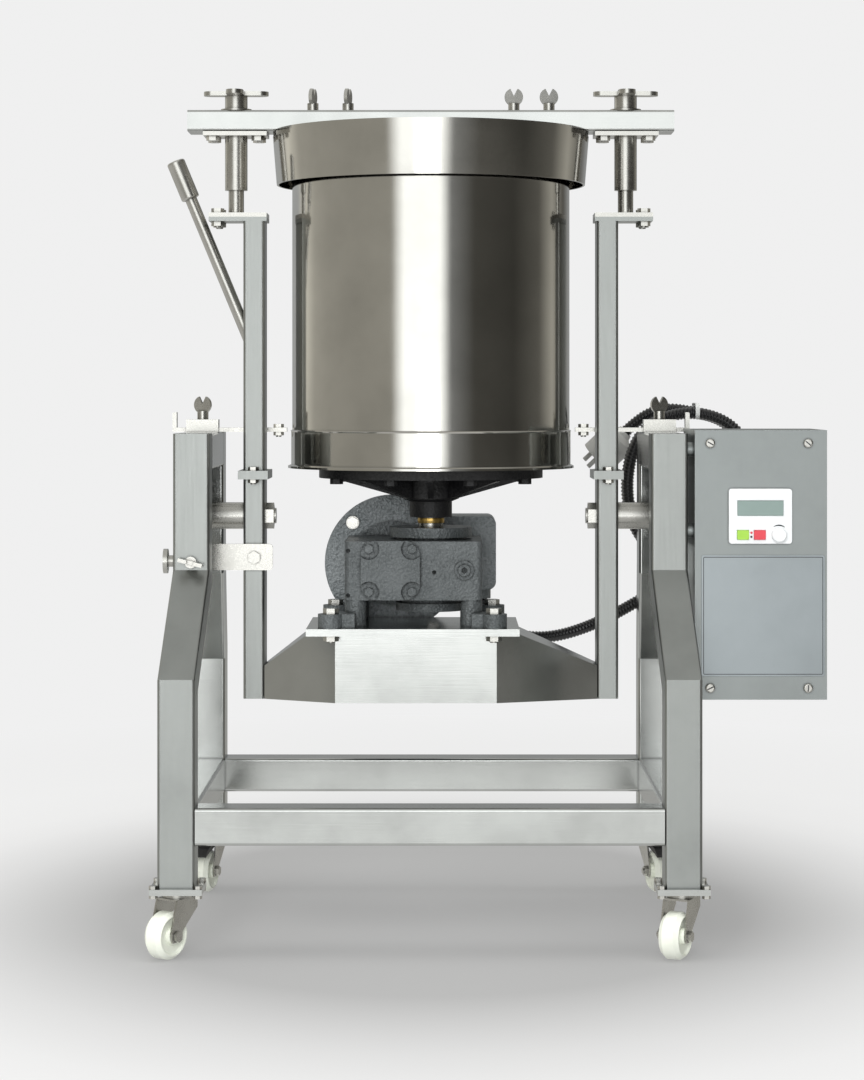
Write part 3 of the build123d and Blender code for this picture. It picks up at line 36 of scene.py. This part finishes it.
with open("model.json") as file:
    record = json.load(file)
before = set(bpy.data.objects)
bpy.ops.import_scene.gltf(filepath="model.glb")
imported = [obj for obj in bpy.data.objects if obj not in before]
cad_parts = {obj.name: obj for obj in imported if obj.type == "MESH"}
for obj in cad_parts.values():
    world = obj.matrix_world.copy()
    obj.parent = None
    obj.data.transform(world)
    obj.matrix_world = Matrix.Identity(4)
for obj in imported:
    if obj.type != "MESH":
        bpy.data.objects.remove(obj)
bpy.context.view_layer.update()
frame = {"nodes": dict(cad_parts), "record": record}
nodes = frame["nodes"]
scene = bpy.context.scene


# Materials

NOISE_ROUGH = 0.55
# Painted shade in corners, for steel and for castings
STEEL_CORNER_SHADE = (0.004, 0.4)        # reach in metres, share of the colour that is left
CASTING_CORNER_SHADE = (0.006, 0.25)
EVEN = (1.0, 1.0, 1.0)
ALONG_Z = (1.0, 1.0, 0.02)
ALONG_X = (0.02, 1.0, 1.0)


class Shader:
    """A node material with one Principled shader and short helpers for what feeds it."""

    def __init__(self, name):
        self.mat = bpy.data.materials.new(name)
        self.mat.use_nodes = True
        self.tree = self.mat.node_tree
        self.bsdf = next(n for n in self.tree.nodes if n.type == "BSDF_PRINCIPLED")
        self.coord = self.tree.nodes.new("ShaderNodeTexCoord")

    def node(self, kind, **inputs):
        node = self.tree.nodes.new(kind)
        for key, value in inputs.items():
            node.inputs[key].default_value = value
        return node

    def link(self, out, into):
        self.tree.links.new(out, into)

    def value(self, socket, number):
        self.bsdf.inputs[socket].default_value = number

    def place(self, stretch=EVEN):
        mapping = self.tree.nodes.new("ShaderNodeMapping")
        mapping.inputs["Scale"].default_value = stretch
        self.link(self.coord.outputs["Object"], mapping.inputs["Vector"])
        return mapping.outputs["Vector"]

    def noise(self, scale, detail=3.0, stretch=EVEN):
        node = self.node("ShaderNodeTexNoise", Scale=scale, Detail=detail, Roughness=NOISE_ROUGH)
        self.link(self.place(stretch), node.inputs["Vector"])
        return node.outputs["Fac"]

    def cells(self, scale, what="Distance"):
        node = self.node("ShaderNodeTexVoronoi", Scale=scale)
        self.link(self.place(), node.inputs["Vector"])
        return node.outputs[what]

    def span(self, source, low, high, to_low, to_high):
        node = self.tree.nodes.new("ShaderNodeMapRange")
        values = {"From Min": low, "From Max": high, "To Min": to_low, "To Max": to_high}
        for key, value in values.items():
            node.inputs[key].default_value = value
        self.link(source, node.inputs["Value"])
        return node.outputs["Result"]

    def math(self, operation, a, b):
        node = self.tree.nodes.new("ShaderNodeMath")
        node.operation = operation
        for i, source in enumerate((a, b)):
            if isinstance(source, (int, float)):
                node.inputs[i].default_value = source
            else:
                self.link(source, node.inputs[i])
        return node.outputs[0]

    def ramp(self, source, *stops):
        node = self.tree.nodes.new("ShaderNodeValToRGB")
        elements = node.color_ramp.elements
        while len(elements) < len(stops):
            elements.new(0.5)
        for element, (place, colour) in zip(elements, stops):
            element.position = place
            element.color = (*colour, 1.0)
        self.link(source, node.inputs["Fac"])
        return node.outputs["Color"]

    def bump(self, height, strength, distance):
        node = self.node("ShaderNodeBump", Strength=strength, Distance=distance)
        self.link(height, node.inputs["Height"])
        self.link(node.outputs["Normal"], self.bsdf.inputs["Normal"])

    def painted_corner_shade(self, colour, reach, share):
        """A colour that darkens to a share of itself where faces meet in a corner: painted shade."""
        hollow = self.node("ShaderNodeAmbientOcclusion", Distance=reach)
        level = self.span(hollow.outputs["AO"], 0.35, 0.95, share, 1.0)
        mix = self.tree.nodes.new("ShaderNodeMix")
        mix.data_type = "RGBA"
        mix.blend_type = "MULTIPLY"
        mix.inputs[0].default_value = 1.0
        self.link(colour, mix.inputs[6])
        self.link(level, mix.inputs[7])
        return mix.outputs[2]

    def feed(self, source, socket):
        self.link(source, self.bsdf.inputs[socket])


def shade(colour, factor):
    return tuple(min(1.0, c * factor) for c in colour)


def steel(name, colour, rough, lines, line_scale, blotch, wave=0.0, brush=0.10):
    """Bare steel: fine grinding lines, cloudy buffing marks and a little waviness."""
    s = Shader(name)
    s.value("Metallic", 1.0)
    cloud = s.noise(blotch, 4.0)
    fine = s.noise(line_scale, 2.0, lines)
    tones = s.ramp(cloud, (0.30, shade(colour, 0.86)), (0.55, colour), (0.75, shade(colour, 1.08)))
    # The base colour carries painted shade in corners
    s.feed(s.painted_corner_shade(tones, *STEEL_CORNER_SHADE), "Base Color")
    both = s.math("ADD", s.math("MULTIPLY", cloud, 0.6), s.math("MULTIPLY", fine, 0.4))
    s.feed(s.span(both, 0.32, 0.68, *rough), "Roughness")
    height = s.math("MULTIPLY", fine, 0.10)
    if wave:
        height = s.math("ADD", height, s.math("MULTIPLY", s.noise(blotch * 0.6, 2.0), wave))
    s.bump(height, brush, 0.002)
    return s.mat


def casting(name, dark, light, grain=320.0, rough=(0.26, 0.42), strength=0.85):
    """Hammered paint over a casting: a pebbled skin with slight shade changes."""
    s = Shader(name)
    s.value("Metallic", 0.35)
    skin = s.noise(grain, 2.0)
    cloud = s.noise(18.0, 3.0)
    pebble = s.cells(grain * 0.8)
    mix = s.math("ADD", s.math("MULTIPLY", skin, 0.35), s.math("MULTIPLY", cloud, 0.65))
    # The base colour carries painted shade in corners
    s.feed(s.painted_corner_shade(s.ramp(mix, (0.36, dark), (0.66, light)), *CASTING_CORNER_SHADE), "Base Color")
    s.feed(s.span(cloud, 0.3, 0.7, *rough), "Roughness")
    s.bump(s.math("ADD", skin, s.math("MULTIPLY", pebble, 0.7)), strength, 0.0016)
    return s.mat


def moulded(name, colour, rough, grain=1400.0, strength=0.08, dirt=0.9, coat=0.0):
    """Moulded plastic or rubber: a faint grain and slight shade changes."""
    s = Shader(name)
    cloud = s.noise(26.0, 3.0)
    fine = s.noise(grain, 2.0)
    s.feed(s.ramp(cloud, (0.3, shade(colour, dirt)), (0.65, colour)), "Base Color")
    s.feed(s.span(fine, 0.3, 0.7, rough - 0.05, rough + 0.05), "Roughness")
    s.value("Coat Weight", coat)
    s.bump(fine, strength, 0.0006)
    return s.mat


def stone(name):
    """Speckled granite, honed."""
    s = Shader(name)
    grains = s.cells(210.0, what="Color")
    tone = s.node("ShaderNodeRGBToBW")
    s.link(grains, tone.inputs["Color"])
    fine = s.noise(380.0, 3.0)
    mix = s.math("ADD", s.math("MULTIPLY", tone.outputs[0], 0.6), s.math("MULTIPLY", fine, 0.4))
    dark = (0.05, 0.05, 0.052)
    mid = (0.26, 0.25, 0.245)
    light = (0.62, 0.60, 0.58)
    s.feed(s.ramp(mix, (0.25, dark), (0.5, mid), (0.75, light)), "Base Color")
    s.feed(s.span(fine, 0.3, 0.7, 0.35, 0.6), "Roughness")
    s.bump(mix, 0.12, 0.0008)
    return s.mat


looks = {
    "frame_steel": steel(
        "frame_steel", (0.54, 0.55, 0.54),
        (0.13, 0.24), ALONG_X, 700.0, 9.0, 1.2, 0.12,
    ),
    # The frame's steel with its grain along Z and a darker base colour as painted shade
    "upright_steel_shaded": steel(
        "upright_steel_shaded", (0.40, 0.415, 0.405),
        (0.30, 0.42), ALONG_Z, 700.0, 11.0, 0.8, 0.08,
    ),
    "bright_steel": steel("bright_steel", (0.60, 0.59, 0.56), (0.20, 0.34), EVEN, 600.0, 30.0),
    "drum_steel": steel(
        "drum_steel", (0.66, 0.645, 0.61),
        (0.07, 0.13), ALONG_Z, 1500.0, 7.0, 0.0, 0.05,
    ),
    "case_steel": steel("case_steel", (0.375, 0.40, 0.40), (0.34, 0.46), ALONG_Z, 1200.0, 9.0, 0.3),
    "gear_iron": casting("gear_iron", (0.084, 0.094, 0.097), (0.155, 0.168, 0.173)),
    "carrier_iron": casting(
        "carrier_iron", (0.008, 0.008, 0.009),
        (0.028, 0.028, 0.029), 300.0, (0.36, 0.55), 0.4,
    ),
    "motor_paint": casting(
        "motor_paint", (0.155, 0.172, 0.178),
        (0.27, 0.29, 0.298), 280.0, (0.30, 0.44), 0.7,
    ),
    "bronze": steel("bronze", (0.75, 0.50, 0.16), (0.22, 0.34), EVEN, 800.0, 40.0),
    "granite": stone("granite"),
    "nylon": moulded("nylon", (0.90, 0.93, 0.83), 0.34, 500.0, 0.1, 0.88, 0.15),
    "black_plastic": moulded("black_plastic", (0.012, 0.012, 0.013), 0.45),
    "conduit_black": moulded("conduit_black", (0.009, 0.009, 0.010), 0.26, 700.0, 0.05, 0.8, 0.3),
    "plug_grey": moulded("plug_grey", (0.42, 0.42, 0.40), 0.5),
    "keypad_white": moulded("keypad_white", (0.76, 0.78, 0.79), 0.32),
    "key_green": moulded("key_green", (0.34, 0.60, 0.07), 0.4),
    "key_red": moulded("key_red", (0.66, 0.06, 0.08), 0.4),
    "plate_steel": steel("plate_steel", (0.385, 0.42, 0.44), (0.30, 0.40), ALONG_Z, 1600.0, 8.0),
    "dark_ink": moulded("dark_ink", (0.030, 0.032, 0.036), 0.5),
    "display": moulded("display", (0.20, 0.27, 0.25), 0.22, 1400.0, 0.02, 0.94, 0.3),
    "tie_nylon": moulded("tie_nylon", (0.62, 0.63, 0.62), 0.4),
}


def wear(obj, look):
    obj.data.materials.clear()
    obj.data.materials.append(look)


UPRIGHTS = ("front_legs", "lower_posts", "upper_posts")
for entry in frame["record"]["subparts"]:
    node = entry["node"]
    wear(nodes[node], looks["upright_steel_shaded" if node in UPRIGHTS else entry["material_slot"]])


# Cords

def mm(points):
    return [tuple(v / 1000 for v in point) for point in points]


COIL_X = 385.0
COIL_Z = 611.5
COIL_HALF_W = 96.0
COIL_HALF_H = 112.0
COIL_SQUARE = 0.86
COIL_FRONT = 163.0
COIL_PITCH = 20.5
COIL_LAST = 810
COIL_STEP = 30


def coil_points():
    """Squarish oval turns, one behind the other, in millimetres."""
    points = []
    for degrees in range(0, COIL_LAST + 1, COIL_STEP):
        angle = math.radians(degrees)
        across = math.copysign(abs(math.cos(angle)) ** COIL_SQUARE, math.cos(angle))
        up = math.copysign(abs(math.sin(angle)) ** COIL_SQUARE, math.sin(angle))
        y = COIL_FRONT + COIL_PITCH * degrees / 360
        points.append((COIL_X + COIL_HALF_W * across, y, COIL_Z + COIL_HALF_H * up))
    return points


MOTOR_ROUTE = mm([
    (75, 178, 445), (75, 178, 424), (96, 178, 400), (135, 180, 387), (180, 184, 386), (228, 198, 398),
    (278, 226, 418), (326, 244, 444), (374, 236, 466), (412, 202, 476), (432, 152, 468), (436, 96, 460),
    (436, 41, 460),
])
SUPPLY_ROUTE = mm(
    [(480, 41, 392), (480, 85, 392), (482, 125, 412), (484, 150, 452), (484, 160, 505), (482, 163, 560)]
    + coil_points()
    + [(352, 213, 727), (318, 221, 717), (292, 227, 692)]
)
HOSE_R = 0.009
RIB_PITCH = 0.0052
RIB_DEPTH = 0.0013
RINGS_A_RIB = 4
HOSE_SIDES = 14


def smooth_line(route):
    """Points of the NURBS line that has the route's points as its control points."""
    curve = bpy.data.curves.new("line", "CURVE")
    curve.dimensions = "3D"
    spline = curve.splines.new("NURBS")
    spline.points.add(len(route) - 1)
    for point, place in zip(spline.points, route):
        point.co = (*place, 1.0)
    spline.order_u = 3
    spline.use_endpoint_u = True
    spline.resolution_u = 24
    carrier = bpy.data.objects.new("line", curve)
    scene.collection.objects.link(carrier)
    bpy.context.view_layer.update()
    mesh = bpy.data.meshes.new_from_object(carrier.evaluated_get(bpy.context.evaluated_depsgraph_get()))
    points = [v.co.copy() for v in mesh.vertices]
    bpy.data.objects.remove(carrier)
    bpy.data.meshes.remove(mesh)
    return points


def even(points, step):
    """Points on the same line, at even steps along it."""
    runs = [(b - a).length for a, b in zip(points, points[1:])]
    total = sum(runs)
    count = max(2, round(total / step))
    out = []
    i = 0
    done = 0.0
    for k in range(count + 1):
        want = total * k / count
        while i < len(runs) - 1 and done + runs[i] < want:
            done += runs[i]
            i += 1
        share = (want - done) / runs[i] if runs[i] else 0.0
        out.append(points[i].lerp(points[i + 1], min(1.0, max(0.0, share))))
    return out, total


def ribbed_tube(name, route):
    """A ribbed hose along a route: four rings a rib, closed at both ends."""
    line = smooth_line(route)
    places, total = even(line, RIB_PITCH / RINGS_A_RIB)
    bm = bmesh.new()
    side = Vector((0.31, 0.87, 0.21))
    rings = []
    last = len(places) - 1
    for i, place in enumerate(places):
        along = (places[min(last, i + 1)] - places[max(0, i - 1)]).normalized()
        side = (side - along * side.dot(along)).normalized()
        other = along.cross(side)
        radius = HOSE_R - (RIB_DEPTH if i % RINGS_A_RIB in (0, 1) else 0.0)
        ring = []
        for k in range(HOSE_SIDES):
            angle = math.tau * k / HOSE_SIDES
            out = side * math.cos(angle) + other * math.sin(angle)
            ring.append(bm.verts.new(place + out * radius))
        rings.append(ring)
    for a, b in zip(rings, rings[1:]):
        for k in range(HOSE_SIDES):
            n = (k + 1) % HOSE_SIDES
            bm.faces.new((a[k], a[n], b[n], b[k]))
    bm.faces.new(list(reversed(rings[0])))
    bm.faces.new(rings[-1])
    bmesh.ops.recalc_face_normals(bm, faces=bm.faces)
    mesh = bpy.data.meshes.new(name)
    bm.to_mesh(mesh)
    bm.free()
    for face in mesh.polygons:
        face.use_smooth = True
    obj = bpy.data.objects.new(name, mesh)
    scene.collection.objects.link(obj)
    return obj, line, total


supply, supply_line, supply_length = ribbed_tube("supply_hose", SUPPLY_ROUTE)
wear(supply, looks["conduit_black"])
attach(supply, "base")
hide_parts("supply_conduit")

lead, lead_line, lead_length = ribbed_tube("motor_hose", MOTOR_ROUTE)
wear(lead, looks["conduit_black"])
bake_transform(lead)
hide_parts("motor_conduit")


# Trim: thin and small pieces, with their points in millimetres

COVER_FACE = -150.0
KEYPAD_FACE = -158.0
KNOB = (476.0, 556.0)
RED_LIGHT = (438.5, 559.0)
DARK_LIGHT = (438.5, 553.4)
LIGHT_PROUD = 0.8


def skin(loops, wrap=False):
    """Points and faces through loops of equal count: wrapped into a ring, or capped at both ends."""
    count = len(loops[0])
    points = [point for loop in loops for point in loop]
    faces = []
    for i in range(len(loops) if wrap else len(loops) - 1):
        a = i * count
        b = (i + 1) % len(loops) * count
        for k in range(count):
            n = (k + 1) % count
            faces.append((a + k, a + n, b + n, b + k))
    if not wrap:
        faces.append(tuple(reversed(range(count))))
        faces.append(tuple(range(len(points) - count, len(points))))
    return points, faces


def piece(name, look, body, skins):
    """One object out of skins, which wears a look and rides on a body."""
    bm = bmesh.new()
    for points, faces in skins:
        verts = [bm.verts.new(place) for place in mm(points)]
        for face in faces:
            bm.faces.new([verts[k] for k in face])
    bmesh.ops.recalc_face_normals(bm, faces=bm.faces)
    mesh = bpy.data.meshes.new(name)
    bm.to_mesh(mesh)
    bm.free()
    obj = bpy.data.objects.new(name, mesh)
    scene.collection.objects.link(obj)
    wear(obj, looks[look])
    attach(obj, body)


def rounded(low, high, radius, steps=5):
    """Outline of a rounded rectangle between two corners."""
    corners = ((high, high, 0), (low, high, 90), (low, low, 180), (high, low, 270))
    points = []
    for across, up, start in corners:
        x = across[0] + (radius if across is low else -radius)
        z = up[1] + (radius if up is low else -radius)
        for k in range(steps + 1):
            angle = math.radians(start + 90 * k / steps)
            points.append((x + radius * math.cos(angle), z + radius * math.sin(angle)))
    return points


def facing(outline, y):
    return [(x, y, z) for x, z in outline]


def sheet(low, high, radius, back, thick, edge):
    """A thin rounded plate that faces the front, with its front edge eased."""
    whole = rounded(low, high, radius)
    eased = rounded((low[0] + edge, low[1] + edge), (high[0] - edge, high[1] - edge), radius - edge)
    front = back - thick
    return skin([facing(whole, back), facing(whole, front + edge), facing(eased, front)])


def line_round(low, high, radius, width, back, thick):
    """A raised line of even width that runs round a rounded rectangle."""
    outer = rounded(low, high, radius)
    inner = rounded((low[0] + width, low[1] + width), (high[0] - width, high[1] - width), radius - width)
    front = back - thick
    edges = ((outer, back), (outer, front), (inner, front), (inner, back))
    return skin([facing(outline, y) for outline, y in edges], wrap=True)


def slot_mark(centre, length, width, degrees, back, thick):
    """A dark slot across a screw head, with square ends."""
    turn = math.radians(degrees)
    outline = []
    for right, top in ((1, 1), (-1, 1), (-1, -1), (1, -1)):
        across = right * length / 2
        up = top * width / 2
        x = centre[0] + across * math.cos(turn) - up * math.sin(turn)
        z = centre[1] + across * math.sin(turn) + up * math.cos(turn)
        outline.append((x, z))
    return skin([facing(outline, back), facing(outline, back - thick)])


def circle(centre, radius, y, sides=20):
    turns = [math.tau * k / sides for k in range(sides)]
    return [(centre[0] + radius * math.cos(t), y, centre[1] + radius * math.sin(t)) for t in turns]


def lens(centre, radius, back, proud):
    """A small domed light."""
    steps = [(1.0, 0.0), (1.0, 0.5), (0.85, 0.8), (0.45, 1.0)]
    return skin([circle(centre, radius * r, back - proud * out) for r, out in steps])


def arc_mark(centre, radius, width, start, end, back, thick, steps=10):
    """A curved mark that thins towards both ends."""
    angles = [math.radians(start + (end - start) * k / steps) for k in range(steps + 1)]
    half = [width / 2 * (0.35 + 0.65 * math.sin(math.pi * k / steps)) for k in range(steps + 1)]
    outer = [(radius + h, a) for h, a in zip(half, angles)]
    inner = [(radius - h, a) for h, a in zip(half, angles)]
    edge = outer + inner[::-1]
    outline = [(centre[0] + r * math.cos(a), centre[1] + r * math.sin(a)) for r, a in edge]
    return skin([facing(outline, back), facing(outline, back - thick)])


def ring_on_z(profile, sides=48):
    """A ring about the upright axis from a profile of radius and height."""
    turns = [math.tau * k / sides for k in range(sides)]
    return skin([[(r * math.cos(t), r * math.sin(t), z) for t in turns] for r, z in profile], wrap=True)


def strap_round(x, width, low, high, radius, thick):
    """A band round a bundle that runs along X, between two corners in Y and Z."""
    inner = rounded(low, high, radius)
    outer = rounded((low[0] - thick, low[1] - thick), (high[0] + thick, high[1] + thick), radius + thick)
    edges = ((x, outer), (x + width, outer), (x + width, inner), (x, inner))
    return skin([[(place, y, z) for y, z in outline] for place, outline in edges], wrap=True)


PLATE_LOW, PLATE_HIGH = (371.0, 362.0), (540.0, 528.0)
PLATE_T = 0.6
LINE_INSET = 2.5
piece("name_plate", "plate_steel", "base",
      [sheet(PLATE_LOW, PLATE_HIGH, 3.0, COVER_FACE, PLATE_T, 0.2)])
line_low = tuple(v + LINE_INSET for v in PLATE_LOW)
line_high = tuple(v - LINE_INSET for v in PLATE_HIGH)
piece("plate_line", "dark_ink", "base",
      [line_round(line_low, line_high, 2.0, 0.9, COVER_FACE - PLATE_T, 0.1)])
DISPLAY_LOW, DISPLAY_HIGH = (419.6, 582.1), (482.4, 602.9)
DISPLAY_BACK = KEYPAD_FACE + 2
piece("display", "display", "base",
      [sheet(DISPLAY_LOW, DISPLAY_HIGH, 0.8, DISPLAY_BACK, 1.2, 0.3)])
HEAD_FACE = COVER_FACE - 3.5
COVER_SCREWS = {(383.0, 346.0): 25, (383.0, 681.0): -30, (517.0, 346.0): 85, (517.0, 681.0): -40}
piece("screw_slots", "dark_ink", "base",
      [slot_mark(place, 9.0, 1.6, turn, HEAD_FACE, 0.06) for place, turn in COVER_SCREWS.items()])
piece("light_red", "key_red", "base", [lens(RED_LIGHT, 1.7, KEYPAD_FACE, LIGHT_PROUD)])
piece("light_dark", "dark_ink", "base", [lens(DARK_LIGHT, 1.5, KEYPAD_FACE, LIGHT_PROUD)])
piece("knob_mark", "dark_ink", "base",
      [arc_mark(KNOB, 13.2, 2.0, 52, 122, KEYPAD_FACE, 0.1)])
SEAL = [(17.6, 565.0), (18.9, 565.6), (19.2, 569.0), (18.9, 572.4), (17.6, 573.0)]
piece("shaft_seal", "bronze", "drum", [ring_on_z(SEAL)])
TIE_X = 391.0
TIE_W = 6.0
TIE_LOW, TIE_HIGH = (153.5, 713.0), (218.0, 734.0)
piece("coil_tie", "tie_nylon", "base",
      [strap_round(TIE_X, TIE_W, TIE_LOW, TIE_HIGH, 8.0, 1.3)])


# Stage, light and camera

FLOOR_HALF = 14.0
PAPER = (0.22, 0.22, 0.22)
# Floor glow by distance from the object: low round it as a painted shadow, as bright as the backdrop
# further back
PAPER_GLOW_AND_SHADOW = ((0.0, 0.29), (0.15, 0.25), (0.225, 0.48), (0.27, 0.58), (0.36, 0.68), (0.60, 0.87))


def stage_material(name):
    """Matt paper: it takes real shadows near the object, glows less round it as a painted shadow and
    glows evenly further back.
    """
    s = Shader(name)
    split = s.node("ShaderNodeSeparateXYZ")
    s.link(s.coord.outputs["Object"], split.inputs[0])
    across = s.math("MULTIPLY", split.outputs["X"], 1.33)
    along = s.math("SUBTRACT", split.outputs["Y"], 0.1)
    squares = s.math("ADD", s.math("MULTIPLY", across, across), s.math("MULTIPLY", along, along))
    away = s.math("MULTIPLY", s.math("POWER", squares, 0.5), 0.25)
    glow_and_shadow = s.ramp(away, *[(place, (level,) * 3) for place, level in PAPER_GLOW_AND_SHADOW])
    paper = s.ramp(away, (0.3, PAPER), (0.60, (0.0, 0.0, 0.0)))
    s.feed(paper, "Base Color")
    s.value("Roughness", 0.9)
    s.value("Specular IOR Level", 0.0)
    s.feed(glow_and_shadow, "Emission Color")
    s.value("Emission Strength", 1.0)
    return s.mat


def floor_sheet():
    """A pale floor that runs back to where it is as bright as the backdrop."""
    bm = bmesh.new()
    signs = ((-1, -1), (1, -1), (1, 1), (-1, 1))
    bm.faces.new([bm.verts.new((x * FLOOR_HALF, y * FLOOR_HALF, 0.0)) for x, y in signs])
    mesh = bpy.data.meshes.new("floor_sheet")
    bm.to_mesh(mesh)
    bm.free()
    obj = bpy.data.objects.new("floor_sheet", mesh)
    scene.collection.objects.link(obj)
    obj.data.materials.append(stage_material("pale_floor"))
    obj.visible_glossy = False


floor_sheet()


def area(name, place, target, size, power, colour=(1, 1, 1), mirrored=False):
    data = bpy.data.lights.new(name, "AREA")
    data.shape = "RECTANGLE"
    data.size, data.size_y = size
    data.energy = power
    data.color = colour
    obj = bpy.data.objects.new(name, data)
    obj.location = place
    obj.rotation_euler = (Vector(target) - Vector(place)).to_track_quat("-Z", "Y").to_euler()
    obj.visible_glossy = mirrored
    scene.collection.objects.link(obj)


area("front_box", (-0.55, -5.2, 1.9), (0, 0, 0.7), (2.2, 3.2), 175.0)
area("top_box", (0.0, -0.4, 3.6), (0, 0, 0.5), (3.2, 2.6), 70.0)
area("low_box", (-0.2, -5.5, 0.44), (-0.2, 0, 0.44), (1.7, 0.54), 6.0, mirrored=True)
area("left_box", (-3.6, -1.0, 1.6), (0, 0, 0.6), (1.6, 2.4), 20.0, (1.0, 0.97, 0.92))


WARM = (1.0, 0.97, 0.86)
COOL = (0.98, 1.0, 0.99)
BACKDROP = (0.87, 0.87, 0.87, 1.0)
# Share of the turn from the back by the left, level and tint
AROUND = [
    (0.000, 0.34, COOL), (0.100, 0.45, COOL), (0.144, 0.80, WARM), (0.190, 0.46, WARM),
    (0.243, 0.38, WARM), (0.330, 0.34, WARM), (0.412, 0.36, WARM), (0.440, 1.70, COOL),
    (0.522, 1.70, COOL), (0.545, 0.24, COOL), (0.600, 0.07, WARM), (0.700, 0.05, WARM),
    (0.780, 0.12, WARM), (0.832, 0.42, WARM), (0.862, 0.26, WARM), (0.895, 0.12, WARM),
    (0.940, 0.30, COOL), (1.000, 0.34, COOL),
]


def studio_world():
    """Pale to the camera. Round the object: bright front, dim warm left, dark right, pale back."""
    world = bpy.data.worlds.new("studio")
    scene.world = world
    world.use_nodes = True
    tree = world.node_tree
    tree.nodes.clear()

    def add(kind):
        return tree.nodes.new(kind)

    coord = add("ShaderNodeTexCoord")
    split = add("ShaderNodeSeparateXYZ")
    tree.links.new(coord.outputs["Generated"], split.inputs[0])
    flip = add("ShaderNodeMath")
    flip.operation = "MULTIPLY"
    flip.inputs[1].default_value = -1.0
    tree.links.new(split.outputs["Y"], flip.inputs[0])
    turn = add("ShaderNodeMath")
    turn.operation = "ARCTAN2"
    tree.links.new(split.outputs["X"], turn.inputs[0])
    tree.links.new(flip.outputs[0], turn.inputs[1])
    share = add("ShaderNodeMapRange")
    share.inputs["From Min"].default_value = -math.pi
    share.inputs["From Max"].default_value = math.pi
    tree.links.new(turn.outputs[0], share.inputs["Value"])
    round_ramp = add("ShaderNodeValToRGB")
    elements = round_ramp.color_ramp.elements
    while len(elements) < len(AROUND):
        elements.new(0.5)
    brightest = max(level for _, level, _ in AROUND)
    for element, (place, level, tint) in zip(elements, AROUND):
        element.position = place
        element.color = (*shade(tint, level / brightest), 1.0)
    tree.links.new(share.outputs["Result"], round_ramp.inputs["Fac"])

    def fade(source, start, end, share, colour):
        """The source, mixed towards a colour as the height goes from start to end."""
        height = add("ShaderNodeMapRange")
        height.inputs["From Min"].default_value = start
        height.inputs["From Max"].default_value = end
        height.inputs["To Max"].default_value = share
        tree.links.new(split.outputs["Z"], height.inputs["Value"])
        mix = add("ShaderNodeMix")
        mix.data_type = "RGBA"
        tree.links.new(height.outputs["Result"], mix.inputs[0])
        tree.links.new(source, mix.inputs[6])
        mix.inputs[7].default_value = (*colour, 1.0)
        return mix.outputs[2]

    ceiling = fade(round_ramp.outputs["Color"], 0.35, 0.75, 1.0, (0.37, 0.37, 0.355))
    near_floor = fade(ceiling, -0.07, -0.10, 0.52, (0.27, 0.265, 0.245))
    mixed = fade(near_floor, -0.19, -0.28, 0.85, (0.40, 0.40, 0.39))

    around = add("ShaderNodeBackground")
    around.inputs["Strength"].default_value = brightest
    tree.links.new(mixed, around.inputs["Color"])
    plain = add("ShaderNodeBackground")
    plain.inputs["Color"].default_value = BACKDROP
    path = add("ShaderNodeLightPath")
    choose = add("ShaderNodeMixShader")
    tree.links.new(path.outputs["Is Camera Ray"], choose.inputs["Fac"])
    tree.links.new(around.outputs[0], choose.inputs[1])
    tree.links.new(plain.outputs[0], choose.inputs[2])
    out = add("ShaderNodeOutputWorld")
    tree.links.new(choose.outputs[0], out.inputs["Surface"])


studio_world()
scene.view_settings.view_transform = "Standard"

camera_data = bpy.data.cameras.new("camera")
camera_data.sensor_width = 36.0
camera_data.lens = 91.33
camera_data.shift_x = -0.012
camera_data.shift_y = -0.134
camera_data.clip_end = 100.0
camera = bpy.data.objects.new("camera", camera_data)
camera.location = (0.020, -3.9, 0.7467)
camera.rotation_euler = (math.radians(90), 0, 0)
scene.collection.objects.link(camera)
scene.camera = camera
